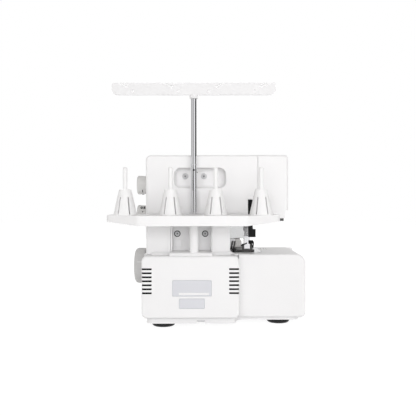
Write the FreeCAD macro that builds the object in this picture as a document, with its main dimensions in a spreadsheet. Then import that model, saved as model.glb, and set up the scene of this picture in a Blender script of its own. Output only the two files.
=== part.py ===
import FreeCAD, Part
import math
import os
import re
import Sketcher
from FreeCAD import Placement, Rotation, Vector

# Domestic overlock machine with a thread stand, in millimetres.
# The operator sits on the -Y side, the handwheel is on the +X side and the feet stand on Z = 0.

SIZES = {
    # main stations of the casing
    "foot_height": 7,
    "pan_height": 9,
    "bed_top": 120,
    "arm_top": 288,
    "arm_under": 181,
    "casing_wall": 3,
    "seam": 0.6,
    "bed_left": -163.25,
    "arm_left": -133,
    "face_seam": -81,
    "throat_right": -34,
    "right_side": 108,
    "base_step": 4,
    "arm_front": -78,
    "cover_split": -20,
    "arm_rear": 30,
    "corner_round": 8.5,
    "edge_round": 4,
    "front_round": 10,
    "throat_round": 12,
    # bottom pan and feet
    "pan_left_inset": 10,
    "pan_right_inset": 6,
    "pan_front_inset": 4,
    "pan_rear_inset": 8,
    "pan_side_inset": 5,
    "pan_step_inset": 4.5,
    "pan_round": 12,
    "foot_radius": 19.5,
    "foot_bevel": 2,
    "foot_left": -119,
    "foot_right": 78.5,
    "foot_left_front": -84,
    "foot_left_rear": 0,
    "foot_right_front": -84,
    "foot_right_rear": 27,
    "cable_notch_x": 15,
    "cable_notch_width": 14,
    "cable_notch_height": 5,
    # deck and right side of the base
    "deck_front": -111,
    "deck_reveal": 2,
    "doorway_inset": 14.5,
    "looper_travel_room": 6.5,
    "front_panel_step": 2,
    "front_drop": 2,
    # cover over the motor at the back
    "motor_cover_gap": 1,
    "motor_cover_step": 1,
    "motor_cover_front": 20,
    "motor_cover_rear": 58,
    "motor_cover_round": 9,
    "louvre_count": 7,
    "louvre_height": 2.9,
    "louvre_pitch": 6.6,
    "louvre_drop": 21.5,
    "louvre_length": 17,
    # hand recess and column recess in the back
    "hand_left": -27,
    "hand_right": 60,
    "hand_height": 33.5,
    "hand_drop": 21.8,
    "hand_round": 11,
    "hand_scoop": 7,
    "hand_lip": 1.5,
    "recess_depth": 20,
    "recess_left": -4,
    "recess_right": 67,
    "recess_sill": 4,
    "rib_width": 3.6,
    "rib_depth": 3,
    "rib_drop": 18.6,
    "screw_head_radius": 5.2,
    "screw_head_height": 2.6,
    "screw_radius": 2.4,
    "screw_length": 9,
    "screw_hole_gap": 0.1,
    "hand_screw_left": 10,
    "hand_screw_right": 42,
    "hand_screw_drop": 13.2,
    "recess_screw_left": 8,
    "recess_screw_right": 56,
    "recess_screw_rise": 34,
    # face cover
    "face_step": 6,
    "face_step_height": 13,
    "face_round": 6,
    "cutter_width": 6,
    "cutter_depth": 4,
    "cutter_height": 5,
    "cutter_y": 10,
    # sliding side cover and its rails
    "bed_rear": 25,
    "side_cover_gap": 3,
    "side_skirt": 4.5,
    "cloth_plate": 3,
    "bed_end_round": 17,
    "bed_foot_round": 8,
    "rail_radius": 3,
    "rail_inset": 7.25,
    "rail_y": 4,
    "rail_spacing": 40,
    "rail_drop": 22,
    "rail_lug_left": -102,
    "rail_lug_length": 34,
    "rail_lug_height": 14,
    "rail_lug_front": -2,
    # looper cover on its pin
    "looper_front": -140,
    "looper_gap": 1,
    "looper_left_inset": 3.25,
    "looper_right": 64.5,
    "looper_low": 17,
    "looper_round": 14,
    "looper_foot_round": 6,
    "looper_end_relief": 34,
    "hinge_depth": 22,
    "hinge_z": 27,
    "hinge_pin_radius": 2.5,
    "hinge_lug_width": 10,
    "hinge_lug_radius": 5,
    "hinge_lug_left": -100,
    "hinge_lug_right": 10,
    "hinge_ear_left": -120,
    "hinge_ear_right": 30,
    "hinge_ear_width": 8,
    "hinge_pin_end": 8,
    "running_gap": 0.05,
    # needle plate
    "plate_left": -92,
    "plate_right_gap": 9.9,
    "plate_front_gap": 1,
    "plate_rear": -6,
    "plate_thickness": 3.5,
    "needle_slot_length": 12,
    "needle_slot_width": 5,
    # aluminium frame
    "pan_floor": 3,
    "sole_height": 10,
    "sole_step": 4,
    "sole_inset": 8,
    "sole_front_inset": 9,
    "sole_rear_inset": 6,
    "pillar_width": 30,
    "pillar_inset": 16,
    "pillar_front": -50,
    "pillar_rear": 6,
    "pillar_drop": 18,
    "beam_front": -36,
    "beam_rear": 0,
    "beam_height": 30,
    "beam_drop": 22,
    "post_width": 20,
    "post_rear": 10,
    "post_drop": 12,
    "back_web_left": -112,
    "back_web_thickness": 6,
    "front_arm_left": -60,
    "front_arm_depth": 6,
    "front_arm_height": 16.5,
    "head_left_reach": 14,
    "head_right_reach": 14,
    "head_front_reach": 12,
    "head_rear_reach": 12,
    "head_rise": 17,
    "head_high_rise": 4,
    "head_plate": 12,
    "head_web": 4,
    # main shaft, handwheel, motor and belt
    "shaft_radius": 6,
    "shaft_left": -40,
    "shaft_y": -30,
    "shaft_drop": 25,
    "bush_wall": 3,
    "wheel_radius": 31.5,
    "wheel_width": 19.8,
    "wheel_gap": 1,
    "wheel_hub_radius": 13,
    "wheel_rim": 6,
    "wheel_dish": 8,
    "wheel_round": 7,
    "pulley_gap": 1,
    "pulley_width": 9,
    "pulley_radius": 22,
    "motor_pulley_radius": 9,
    "belt_thickness": 2,
    "belt_width": 7,
    "motor_radius": 26,
    "motor_left": 0,
    "motor_length": 58,
    "motor_y": 22,
    "motor_z": 50,
    "motor_shaft_radius": 4,
    "saddle_left": 10,
    "saddle_length": 38,
    "saddle_width": 24,
    "saddle_height": 10,
    # needle bar and needles
    "bar_x": -66,
    "needle_bar_y": -48,
    "needle_bar_radius": 3.5,
    "clamp_seat": 4,
    "needle_bar_drop": 6,
    "clamp_size": 9,
    "needle_length": 28,
    "clamp_height": 11,
    "needle_radius": 0.6,
    "needle_pitch": 4,
    "needle_clearance": 8,
    # presser bar, foot and lifter
    "presser_bar_y": -26,
    "presser_bar_radius": 4,
    "holder_seat": 14,
    "presser_bar_drop": 18,
    "collar_radius": 7,
    "collar_height": 5,
    "collar_drop": 22,
    "spring_radius": 6.6,
    "spring_wire": 1.6,
    "holder_width": 10,
    "holder_front_reach": 7,
    "holder_rear_reach": 14,
    "holder_clearance": 6,
    "holder_height": 22,
    "foot_pin_radius": 2,
    "foot_pin_reach": 9,
    "foot_pin_rise": 10,
    "foot_ear": 3.6,
    "ear_gap": 0.4,
    "ear_radius": 4.5,
    "sole_gap": 0.4,
    "sole_thickness": 3.6,
    "foot_plate_left_reach": 13,
    "foot_plate_right_reach": 18.8,
    "foot_plate_front": -78,
    "foot_plate_rear": -16,
    "foot_window_width": 14,
    "foot_window_front": -57,
    "foot_window_rear": -22,
    "lifter_x": -68.65,
    "lifter_plate": 7.2,
    "lifter_pivot_y": 14,
    "lifter_pivot_drop": 6,
    "lifter_pin_radius": 2.5,
    "lifter_hub_radius": 6,
    "lifter_tail_rise": 31,
    "lifter_reach": 31.2,
    "lifter_grip_reach": 8.05,
    "lifter_grip_inset": 1,
    "lifter_grip_depth": 9,
    "lifter_grip_height": 13.2,
    "lifter_slot_left_reach": 4.2,
    "lifter_slot_right_reach": 4.2,
    "lifter_slot_play": 1,
    "lifter_lug": 4.4,
    "lifter_notch_gap": 6,
    "lifter_notch_depth": 24,
    # loopers, knives and feed dog
    "looper_pin_radius": 3,
    "looper_hub_radius": 7,
    "looper_hub_length": 9,
    "looper_blade": 3,
    "looper_arm": 8,
    "upper_looper_rise": 47,
    "upper_looper_reach": 17,
    "lower_looper_rise": 48,
    "lower_looper_throw": 34,
    "upper_looper_x": -100,
    "upper_looper_drop": 60,
    "upper_looper_y": -52.5,
    "lower_looper_x": -58,
    "lower_looper_drop": 62,
    "lower_looper_y": -44,
    "knife_bar_width": 3.7,
    "knife_bar_gap": 0.6,
    "knife_bar_length": 78,
    "knife_rise": 20,
    "knife_arm": 6,
    "knife_front": -62,
    "knife_depth": 8,
    "blade_gap": 0.3,
    "blade_thickness": 1.6,
    "blade_clearance": 1.5,
    "guide_gap": 0.3,
    "knife_guide_rise": 4,
    "lower_knife_height": 40.4,
    "lower_knife_rise": 0.4,
    "lower_knife_depth": 12,
    "lower_knife_foot": 3.2,
    "feed_rail_width": 4,
    "feed_rail_gap": 16,
    "feed_front": -70,
    "feed_rear": -24,
    "feed_height": 9.7,
    "feed_drop": 0.3,
    "feed_bridge": 5,
    "feed_slot_side": 0.7,
    "feed_slot_end": 4,
    # tension dials
    "dial_radius": 20,
    "dial_width": 9,
    "dial_bevel": 1.5,
    "dial_pitch": 30,
    "dial_inset": 6,
    "dial_depth": 12,
    "dial_drop": 43,
    "dial_axle_radius": 3,
    "dial_slot_gap": 1,
    "axle_boss": 5,
    "axle_boss_height": 14,
    # side knobs, pressure screw, switch and inlet
    "knob_radius": 17,
    "knob_gap": 1,
    "knob_length": 20.9,
    "knob_flare": 1.2,
    "knob_edge": 2,
    "knob_y": -40,
    "length_knob_drop": 49,
    "feed_knob_rise": 5,
    "spindle_radius": 4,
    "spindle_reach": 14,
    "screw_knob_radius": 8,
    "screw_knob_height": 2,
    "screw_stem_radius": 4,
    "screw_stem_length": 9,
    "rocker_y": -67,
    "rocker_z": 70,
    "rocker_width": 14,
    "rocker_height": 20,
    "rocker_depth": 9,
    "rocker_proud": 3,
    "rocker_gap": 1.4,
    "rocker_pin_radius": 2,
    "rocker_pin_depth": 5,
    "rocker_lug": 2.6,
    "inlet_z": 40,
    "inlet_width": 26,
    "inlet_height": 18,
    "inlet_depth": 14,
    "inlet_rim": 2.5,
    "inlet_pin_radius": 1.5,
    "inlet_pin_pitch": 9,
    "inlet_pin_length": 9,
    # needle guard
    "guard_left": -68,
    "guard_right": -36,
    "guard_height": 58,
    "guard_seat": 16,
    "guard_thickness": 2,
    # thread stand
    "stand_x": 26.5,
    "tray_width": 273.5,
    "tray_gap": 2,
    "tray_rear": 140,
    "tray_rise": 68.6,
    "tray_skirt": 15.4,
    "tray_end_skirt": 10,
    "tray_flat": 165,
    "tray_end_depth": 42,
    "tray_wall": 2.6,
    "tray_round": 14,
    "pole_depth": 11,
    "socket_width": 15,
    "socket_depth": 16,
    "socket_floor": 8,
    "lower_pole_radius": 5.3,
    "lower_pole_rise": 83.4,
    "upper_pole_radius": 4.65,
    "pole_overlap": 47,
    "pole_end_gap": 2,
    "bar_hub_radius": 6.8,
    "bar_hub_height": 6,
    "guide_bar_rise": 114.5,
    "guide_bar_width": 272,
    "guide_bar_height": 20,
    "guide_bar_thickness": 3,
    "guide_bar_round": 9.5,
    "guide_hole_radius": 2,
    "slot_hole_first": 37.5,
    "slot_hole_pitch": 74.5,
    "slot_hole_drop": 6.3,
    "closed_hole_first": 25.5,
    "closed_hole_pitch": 75.5,
    "closed_hole_drop": 13.4,
    "guide_slot_width": 1.8,
    "guide_slot_angle": 27,
    "spool_pitch": 71.4,
    "spool_y": 95,
    "spool_pin_radius": 3.5,
    "spool_pin_foot_radius": 4.2,
    "spool_pin_rise": 75.4,
    "spool_pin_tip": 1.4,
    "cone_base_radius": 18.3,
    "cone_top_radius": 9.6,
    "cone_height": 40.4,
    "cone_rim": 1.5,
    "cone_slit_width": 2.2,
    "cone_slit_height": 25.3,
    "cone_slit_count": 6,
    "cone_slit_depth": 3.5,
}

# Places that follow from the sizes.
TIED = {
    "hand_high": "arm_top - hand_drop",
    "hand_low": "hand_high - hand_height",
    "hand_screw_height": "hand_high - hand_screw_drop",
    "dial_axle_z": "arm_top - dial_drop",
    "length_knob_z": "arm_top - length_knob_drop",
    "pillar_top": "arm_top - pillar_drop",
    "beam_top": "arm_top - beam_drop",
    "beam_low": "beam_top - beam_height",
    "head_high": "beam_low + head_high_rise",
    "needle_bar_top": "arm_top - needle_bar_drop",
    "presser_bar_top": "arm_top - presser_bar_drop",
    "collar_low": "head_high - collar_drop",
    "feed_knob_z": "arm_under + feed_knob_rise",
    "head_low": "arm_under + head_rise",
    "lifter_pivot_z": "arm_under - lifter_pivot_drop",
    "lifter_tail_top": "arm_under + lifter_tail_rise",
    "lifter_slot_top": "lifter_tail_top + lifter_slot_play",
    "lifter_low": "arm_under - lifter_reach",
    "guard_top": "arm_under + guard_seat",
    "guard_low": "guard_top - guard_height",
    "recess_high": "arm_under",
    "recess_low": "bed_top + recess_sill",
    "recess_screw_height": "bed_top + recess_screw_rise",
    "needle_tip": "bed_top + needle_clearance",
    "clamp_low": "needle_tip + needle_length",
    "needle_bar_low": "clamp_low + clamp_seat",
    "foot_pin_z": "bed_top + foot_pin_rise",
    "holder_low": "bed_top + holder_clearance",
    "holder_top": "holder_low + holder_height",
    "presser_bar_low": "holder_low + holder_seat",
    "tray_top": "bed_top + tray_rise",
    "rib_top": "tray_top - rib_drop",
    "socket_bore_low": "bed_top + socket_floor",
    "lower_pole_top": "tray_top + lower_pole_rise",
    "upper_pole_low": "lower_pole_top - pole_overlap",
    "guide_bar_low": "lower_pole_top + guide_bar_rise",
    "upper_pole_top": "guide_bar_low - pole_end_gap",
    "spool_pin_top": "tray_top + spool_pin_rise",
    "front_panel_top": "bed_top - front_drop",
    "looper_top": "front_panel_top",
    "louvre_top": "bed_top - louvre_drop",
    "rail_high": "bed_top - rail_drop",
    "rail_low": "rail_high - rail_spacing",
    "post_top": "bed_top - post_drop",
    "shaft_z": "bed_top - shaft_drop",
    "upper_looper_z": "bed_top - upper_looper_drop",
    "lower_looper_z": "bed_top - lower_looper_drop",
    "knife_top": "bed_top + knife_rise",
    "knife_bar_low": "knife_top - knife_bar_length",
    "blade_low": "bed_top + blade_clearance",
    "lower_knife_top": "bed_top + lower_knife_rise",
    "lower_knife_low": "lower_knife_top - lower_knife_height",
    "knife_guide_low": "lower_knife_low + knife_guide_rise",
    "feed_top": "bed_top - feed_drop",
    "feed_low": "feed_top - feed_height",
    "base_right": "right_side + base_step",
    "pillar_right": "right_side - pillar_inset",
    "pillar_left": "pillar_right - pillar_width",
    "pulley_left": "pillar_right + pulley_gap",
    "sole_right": "right_side - sole_inset",
    "rocker_pin_x": "base_right - rocker_pin_depth",
    "motor_cover_right": "base_right + motor_cover_step",
    "pan_right": "base_right - pan_right_inset",
    "pan_left": "bed_left + pan_left_inset",
    "rail_left": "bed_left + rail_inset",
    "looper_left": "bed_left + looper_left_inset",
    "face_step_x": "arm_left + face_step",
    "dial_first_x": "throat_right - dial_inset",
    "head_left": "bar_x - head_left_reach",
    "head_right": "bar_x + head_right_reach",
    "foot_plate_left": "bar_x - foot_plate_left_reach",
    "foot_plate_right": "bar_x + foot_plate_right_reach",
    "deck_left": "throat_right - deck_reveal",
    "post_left": "throat_right",
    "post_right": "post_left + post_width",
    "sole_left": "post_left - sole_step",
    "knife_bar_right": "deck_left - knife_bar_gap",
    "knife_bar_left": "knife_bar_right - knife_bar_width",
    "plate_right": "knife_bar_right - plate_right_gap",
    "blade_left": "plate_right + blade_gap",
    "side_cover_right": "plate_right - side_cover_gap",
    "motor_cover_left": "side_cover_right + motor_cover_gap",
    "front_panel_left": "looper_right + looper_travel_room",
    "front_opening_right": "looper_right - doorway_inset",
    "hinge_pin_left": "hinge_ear_left - hinge_pin_end",
    "hinge_pin_right": "hinge_ear_right + hinge_pin_end",
    "hinge_y": "looper_front + hinge_depth",
    "looper_back": "deck_front - looper_gap",
    "bed_front": "deck_front",
    "plate_front": "deck_front + plate_front_gap",
    "front_panel_face": "looper_front + front_panel_step",
    "pan_front": "deck_front + pan_front_inset",
    "sole_front": "pan_front + sole_front_inset",
    "pan_rear": "motor_cover_rear - pan_rear_inset",
    "pan_side_rear": "bed_rear - pan_side_inset",
    "pan_step_x": "motor_cover_left + pan_step_inset",
    "sole_rear": "pan_rear - sole_rear_inset",
    "dial_axle_y": "arm_front + dial_depth",
    "head_front": "needle_bar_y - head_front_reach",
    "head_rear": "presser_bar_y + head_rear_reach",
    "tray_front": "arm_rear + tray_gap",
    "pole_y": "tray_front + pole_depth",
    "lifter_grip_front": "arm_rear - lifter_grip_inset",
    "holder_front": "presser_bar_y - holder_front_reach",
    "holder_rear": "presser_bar_y + holder_rear_reach",
    "foot_pin_y": "presser_bar_y + foot_pin_reach",
    "inlet_y": "rocker_y",
    "lifter_slot_left": "lifter_x - lifter_slot_left_reach",
    "lifter_slot_right": "lifter_x + lifter_slot_right_reach",
    "lifter_grip_left": "lifter_x - lifter_grip_reach",
}

doc = FreeCAD.newDocument("overlocker")
dims = doc.addObject("Spreadsheet::Sheet", "dims")
for row, (alias, number) in enumerate(SIZES.items(), 1):
    dims.set(f"A{row}", alias)
    dims.set(f"B{row}", str(number))
    dims.setAlias(f"B{row}", alias)
doc.recompute()

# How far a cutting solid runs past the face that it opens.
PAST = 1
# Places nearer than this are taken as one.
CLOSE = 0.001
# Local Z of a primitive turned onto each axis.
TURN = {
    "x": Rotation(Vector(0, 1, 0), 90),
    "y": Rotation(Vector(1, 0, 0), -90),
    "z": Rotation(),
}
parts = []


def spelled(text, prefix=""):
    """Formula text with its tied places written out, down to sizes of the sheet."""
    def spell(word):
        name = word.group()
        if name in TIED:
            return "(" + spelled(TIED[name], prefix) + ")"
        return prefix + name if name in SIZES else name
    return re.sub(r"\b[a-z][a-z0-9_]*\b", spell, str(text))


def formula(text):
    """Formula text for a property of the document, with every size named in the sheet."""
    return spelled(text, "dims.")


def value(text):
    """Number that a formula of sizes has."""
    return float(dims.evalExpression(spelled(text)))


def span(low, size):
    return low, f"({low}) + ({size})"


def around(centre, size):
    return f"({centre}) - ({size}) / 2", f"({centre}) + ({size}) / 2"


def wider(pair, gap):
    return f"({pair[0]}) - ({gap})", f"({pair[1]}) + ({gap})"


def bind(obj, **sizes):
    for name, text in sizes.items():
        obj.setExpression(name, formula(text))
    return obj


def place(obj, x=0, y=0, z=0):
    for axis, text in zip("xyz", (x, y, z)):
        obj.setExpression("Placement.Base." + axis, formula(text))
    return obj


def part(obj):
    """Register a finished sub-part: its label names its file."""
    parts.append(obj)
    return obj


def block(name, x, y, z):
    """Box between two planes along each axis."""
    obj = doc.addObject("Part::Box", name)
    for side, (low, high) in zip(("Length", "Width", "Height"), (x, y, z)):
        obj.setExpression(side, formula(f"({high}) - ({low})"))
    return place(obj, x[0], y[0], z[0])


def rod(name, axis, radius, x, y, z):
    """Cylinder along one axis, whose coordinate is a pair and the other two its centre."""
    spot = {"x": x, "y": y, "z": z}
    low, high = spot[axis]
    spot[axis] = low
    obj = doc.addObject("Part::Cylinder", name)
    obj.Placement = Placement(Vector(), TURN[axis])
    bind(obj, Radius=radius, Height=f"({high}) - ({low})")
    return place(obj, **spot)


def spike(name, radius_low, radius_high, x, y, z):
    """Upright cone between two heights."""
    obj = doc.addObject("Part::Cone", name)
    bind(obj, Radius1=radius_low, Radius2=radius_high, Height=f"({z[1]}) - ({z[0]})")
    return place(obj, x, y, z[0])


def fuse(name, *pieces):
    obj = doc.addObject("Part::MultiFuse", name)
    obj.Shapes = list(pieces)
    obj.Refine = True
    return obj


def cut(name, base, *tools):
    obj = doc.addObject("Part::Cut", name)
    obj.Base = base
    obj.Tool = tools[0] if len(tools) == 1 else fuse(name + "_cuts", *tools)
    obj.Refine = True
    return obj


def group(name, *pieces):
    """Identical separate solids in one sub-part."""
    obj = doc.addObject("Part::Compound", name)
    obj.Links = list(pieces)
    return obj


def along(axis, **planes):
    """Picker of the straight edges along an axis that lie in the given planes."""
    def pick(edge):
        first = edge.Vertexes[0].Point
        last = edge.Vertexes[-1].Point
        straight = all(abs(getattr(first, other) - getattr(last, other)) < CLOSE
                       for other in "xyz" if other != axis)
        there = all(abs(getattr(first, other) - value(text)) < CLOSE for other, text in planes.items())
        return straight and there and edge.Length > CLOSE
    return pick


def within(x=None, y=None, z=None):
    """Picker of the edges that lie between two planes along each given axis, or in one plane."""
    limits = {axis: span_of if isinstance(span_of, tuple) else (span_of, span_of)
              for axis, span_of in (("x", x), ("y", y), ("z", z)) if span_of is not None}

    def pick(edge):
        box = edge.BoundBox
        return all(value(low) - CLOSE < getattr(box, axis.upper() + "Min")
                   and getattr(box, axis.upper() + "Max") < value(high) + CLOSE
                   for axis, (low, high) in limits.items())
    return pick


def soften(name, base, *rounds):
    """Fillets on a solid: each round is a picker and a radius."""
    doc.recompute()
    chosen = {}
    for pick, radius in rounds:
        size = value(radius)
        for index, edge in enumerate(base.Shape.Edges, 1):
            if pick(edge):
                chosen[index] = (index, size, size)
    obj = doc.addObject("Part::Fillet", name)
    obj.Base = base
    obj.Edges = list(chosen.values())
    return obj


def pin_corner(sketch, line, kind, text):
    """Hold a line's first point at a formula from the sketch's origin."""
    if text == "0":
        axis = -2 if kind == "DistanceX" else -1
        sketch.addConstraint(Sketcher.Constraint("PointOnObject", line, 1, axis))
        return
    index = sketch.addConstraint(Sketcher.Constraint(kind, -1, 1, line, 1, value(text)))
    sketch.setExpression(f"Constraints[{index}]", formula(text))


def outline_sketch(body, name, role, outline):
    """Closed outline of straight lines on one of a body's own planes."""
    plane = next(item for item in body.Origin.OriginFeatures if item.Role == role)
    sketch = body.newObject("Sketcher::SketchObject", name)
    sketch.AttachmentSupport = [(plane, "")]
    sketch.MapMode = "FlatFace"
    corners = [Vector(value(across), value(up), 0) for across, up in outline]
    sketch.addGeometry([Part.LineSegment(start, end)
                        for start, end in zip(corners, corners[1:] + corners[:1])], False)
    for line, (across, up) in enumerate(outline):
        sketch.addConstraint(Sketcher.Constraint("Coincident", line, 2, (line + 1) % len(outline), 1))
        pin_corner(sketch, line, "DistanceX", across)
        pin_corner(sketch, line, "DistanceY", up)
    return sketch


def turned(name, axis, x, y, z, outline):
    """Body turned about its axis from a half section of (radius, height) corners."""
    body = doc.addObject("PartDesign::Body", name)
    section = outline_sketch(body, name + "_section", "XZ_Plane", outline)
    turn = body.newObject("PartDesign::Revolution", name + "_turn")
    turn.Profile = section
    turn.ReferenceAxis = (section, ["V_Axis"])
    turn.Angle = 360
    body.Placement = Placement(Vector(), TURN[axis])
    return place(body, x, y, z)


def cut_plate(name, role, outline, thickness, x=0, y=0, z=0):
    """Flat body of one thickness: its outline lies in an origin plane and it grows along + the normal."""
    body = doc.addObject("PartDesign::Body", name)
    shape = outline_sketch(body, name + "_outline", role, outline)
    pad = body.newObject("PartDesign::Pad", name + "_pad")
    pad.Profile = shape
    pad.Reversed = role == "XZ_Plane"
    pad.setExpression("Length", formula(thickness))
    return place(body, x, y, z)


PAN_TOP = "(foot_height + pan_height)"
FRAME_FLOOR = "(foot_height + pan_floor)"
SOLE_TOP = "(foot_height + pan_floor + sole_height)"
COLUMN_LOW = "(bed_top + seam)"


# Bottom pan with the lugs of the looper cover's hinge, and its feet
def pan_solid(name, inset, z):
    """Pan outline set in by a wall, reaching further back under the motor cover."""
    return cut_plate(name, "XY_Plane", [
        (f"pan_left + {inset}", f"pan_front + {inset}"),
        (f"pan_right - {inset}", f"pan_front + {inset}"),
        (f"pan_right - {inset}", f"pan_rear - {inset}"),
        (f"pan_step_x + {inset}", f"pan_rear - {inset}"),
        (f"pan_step_x + {inset}", f"pan_side_rear - {inset}"),
        (f"pan_left + {inset}", f"pan_side_rear - {inset}"),
    ], f"({z[1]}) - ({z[0]})", z=z[0])


pan_outer = soften("pan_outer", pan_solid("pan_block", "0", ("foot_height", PAN_TOP)),
                   (along("z"), "pan_round"))
pan_inner = pan_solid("pan_inner", "casing_wall", (FRAME_FLOOR, f"{PAN_TOP} + {PAST}"))
pan_hollow = soften("pan_hollow", pan_inner, (along("z"), "pan_round - casing_wall"))
cable_notch = block("cable_notch", around("cable_notch_x", "cable_notch_width"),
                    ("pan_rear - pan_round", f"pan_rear + {PAST}"),
                    (f"foot_height - {PAST}", "foot_height + cable_notch_height"))
pan = cut("pan", pan_outer, pan_hollow, cable_notch)
hinge_lugs = [block(f"hinge_lug_{side}", around(f"hinge_lug_{side}", "hinge_lug_width"),
                    ("hinge_y - hinge_lug_radius", "pan_front + casing_wall"),
                    (FRAME_FLOOR, "hinge_z + hinge_lug_radius")) for side in ("left", "right")]
hinge_bore = rod("hinge_bore", "x", "hinge_pin_radius + running_gap",
                 ("hinge_pin_left", "hinge_pin_right"), "hinge_y", "hinge_z")
part(cut("base_plate", fuse("pan_and_lugs", pan, *hinge_lugs), hinge_bore))

FEET = (("left", "front"), ("left", "rear"), ("right", "front"), ("right", "rear"))
feet = [turned(f"foot_{end}_{side}", "z", f"foot_{end}", f"foot_{end}_{side}", "0", [
    ("0", "0"),
    ("foot_radius - foot_bevel", "0"),
    ("foot_radius", "foot_bevel"),
    ("foot_radius", "foot_height"),
    ("0", "foot_height"),
]) for end, side in FEET]
part(group("rubber_feet", *feet))

# Base cover: deck, right side and front right panel
BASE_LOW = f"({PAN_TOP} + seam)"
DECK_REAR = "(motor_cover_front - seam)"
INNER_RIGHT = "(base_right - casing_wall)"
base_block = block("base_block", ("deck_left", "base_right"), ("deck_front", DECK_REAR),
                   (BASE_LOW, "bed_top"))
panel_block = block("panel_block", ("front_panel_left", "base_right"),
                    ("front_panel_face", "deck_front + casing_wall"), (BASE_LOW, "front_panel_top"))
panel_outer = soften("panel_outer", panel_block,
                     (along("x", y="front_panel_face", z="front_panel_top"), "looper_round"),
                     (along("z", x="base_right", y="front_panel_face"), "edge_round"))
rocker_lugs = [block(f"rocker_lug_{name}",
                     ("rocker_pin_x - 2 * rocker_pin_radius", f"{INNER_RIGHT} + {PAST}"),
                     span(f"rocker_y + {start}", "rocker_lug"),
                     around("rocker_z", "6 * rocker_pin_radius"))
               for name, start in (("front", "(-rocker_width / 2 - guide_gap - rocker_lug)"),
                                   ("rear", "(rocker_width / 2 + guide_gap)"))]
base_hollow = block("base_hollow", (f"deck_left - {PAST}", INNER_RIGHT),
                    ("deck_front + casing_wall", f"{DECK_REAR} + {PAST}"),
                    (PAN_TOP, "bed_top - casing_wall"))
panel_inner = block("panel_inner", ("front_panel_left + casing_wall", INNER_RIGHT),
                    ("front_panel_face + casing_wall", f"deck_front + casing_wall + {PAST}"),
                    (PAN_TOP, "front_panel_top - casing_wall"))
panel_hollow = soften("panel_hollow", panel_inner,
                      (along("x", y="front_panel_face + casing_wall", z="front_panel_top - casing_wall"),
                       "looper_round - casing_wall"))
base_shell = cut("base_shell", fuse("base_outer", base_block, panel_outer), base_hollow, panel_hollow)
looper_doorway = block("looper_doorway", (f"deck_left - {PAST}", "front_opening_right"),
                       (f"deck_front - {PAST}", f"deck_front + casing_wall + {PAST}"),
                       (PAN_TOP, "bed_top - casing_wall"))
column_well = block("column_well", ("throat_right + casing_wall", "right_side - casing_wall"),
                    ("arm_front + casing_wall", f"{DECK_REAR} + {PAST}"),
                    (f"bed_top - casing_wall - {PAST}", f"bed_top + {PAST}"))
shaft_hole = rod("shaft_hole", "x", "shaft_radius + casing_wall / 2",
                 (f"{INNER_RIGHT} - {PAST}", f"base_right + {PAST}"), "shaft_y", "shaft_z")
rocker_hole = block("rocker_hole", (f"{INNER_RIGHT} - {PAST}", f"base_right + {PAST}"),
                    around("rocker_y", "rocker_width + 2 * guide_gap"),
                    around("rocker_z", "rocker_height + 2 * rocker_gap"))
rocker_bore = rod("rocker_bore", "y", "rocker_pin_radius + running_gap", "rocker_pin_x",
                  around("rocker_y", "rocker_width + 2 * guide_gap + 2 * rocker_lug"), "rocker_z")
inlet_hole = block("inlet_hole", (f"{INNER_RIGHT} - {PAST}", f"base_right + {PAST}"),
                   around("inlet_y", "inlet_width"), around("inlet_z", "inlet_height"))
part(cut("base_cover", fuse("base_with_lugs", base_shell, *rocker_lugs),
         looper_doorway, column_well, shaft_hole, rocker_hole, rocker_bore, inlet_hole))

# Rear base cover over the motor, with louvres round both rear corners
motor_block = block("motor_block", ("motor_cover_left", "motor_cover_right"),
                    ("motor_cover_front", "motor_cover_rear"), (BASE_LOW, "bed_top"))
motor_corners = soften("motor_corners", motor_block, (along("y"), "motor_cover_round"))
motor_outer = soften("motor_outer", motor_corners,
                     (along("x", y="motor_cover_rear"), "edge_round"),
                     (along("z", y="motor_cover_rear"), "edge_round"))
motor_inner = block("motor_inner", wider(("motor_cover_left", "motor_cover_right"), "-casing_wall"),
                    (f"motor_cover_front - {PAST}", "motor_cover_rear - casing_wall"),
                    (f"{BASE_LOW} + casing_wall", "bed_top - casing_wall"))
motor_hollow = soften("motor_hollow", motor_inner, (along("y"), "motor_cover_round - casing_wall"))
motor_floor = block("motor_floor", wider(("motor_cover_left", "motor_cover_right"), "-motor_cover_round"),
                    (f"motor_cover_front - {PAST}", "motor_cover_rear - casing_wall"),
                    (PAN_TOP, f"{BASE_LOW} + casing_wall + {PAST}"))
louvres = []
for step in range(int(value("louvre_count"))):
    for side, x in (("left", (f"motor_cover_left - {PAST}", "motor_cover_left + louvre_length")),
                    ("right", ("motor_cover_right - louvre_length", f"motor_cover_right + {PAST}"))):
        louvres.append(block(f"louvre_{side}_{step}", x,
                             ("motor_cover_rear - louvre_length", f"motor_cover_rear + {PAST}"),
                             around(f"louvre_top - {step} * louvre_pitch", "louvre_height")))
part(cut("rear_base_cover", motor_outer, motor_hollow, motor_floor, *louvres))


# Arm and column: the front and rear covers meet at the split, the face cover closes the left end
def casing_solid(name, y, inset, low, left):
    """Column and arm as one upside-down L between two planes, set in from the outside."""
    right = f"right_side - {inset}"
    top = f"arm_top - {inset}"
    column = block(name + "_column", (f"throat_right + {inset}", right), y, (low, top))
    arm = block(name + "_arm", (left, right), y, (f"arm_under + {inset}", top))
    return fuse(name, column, arm)


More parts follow.
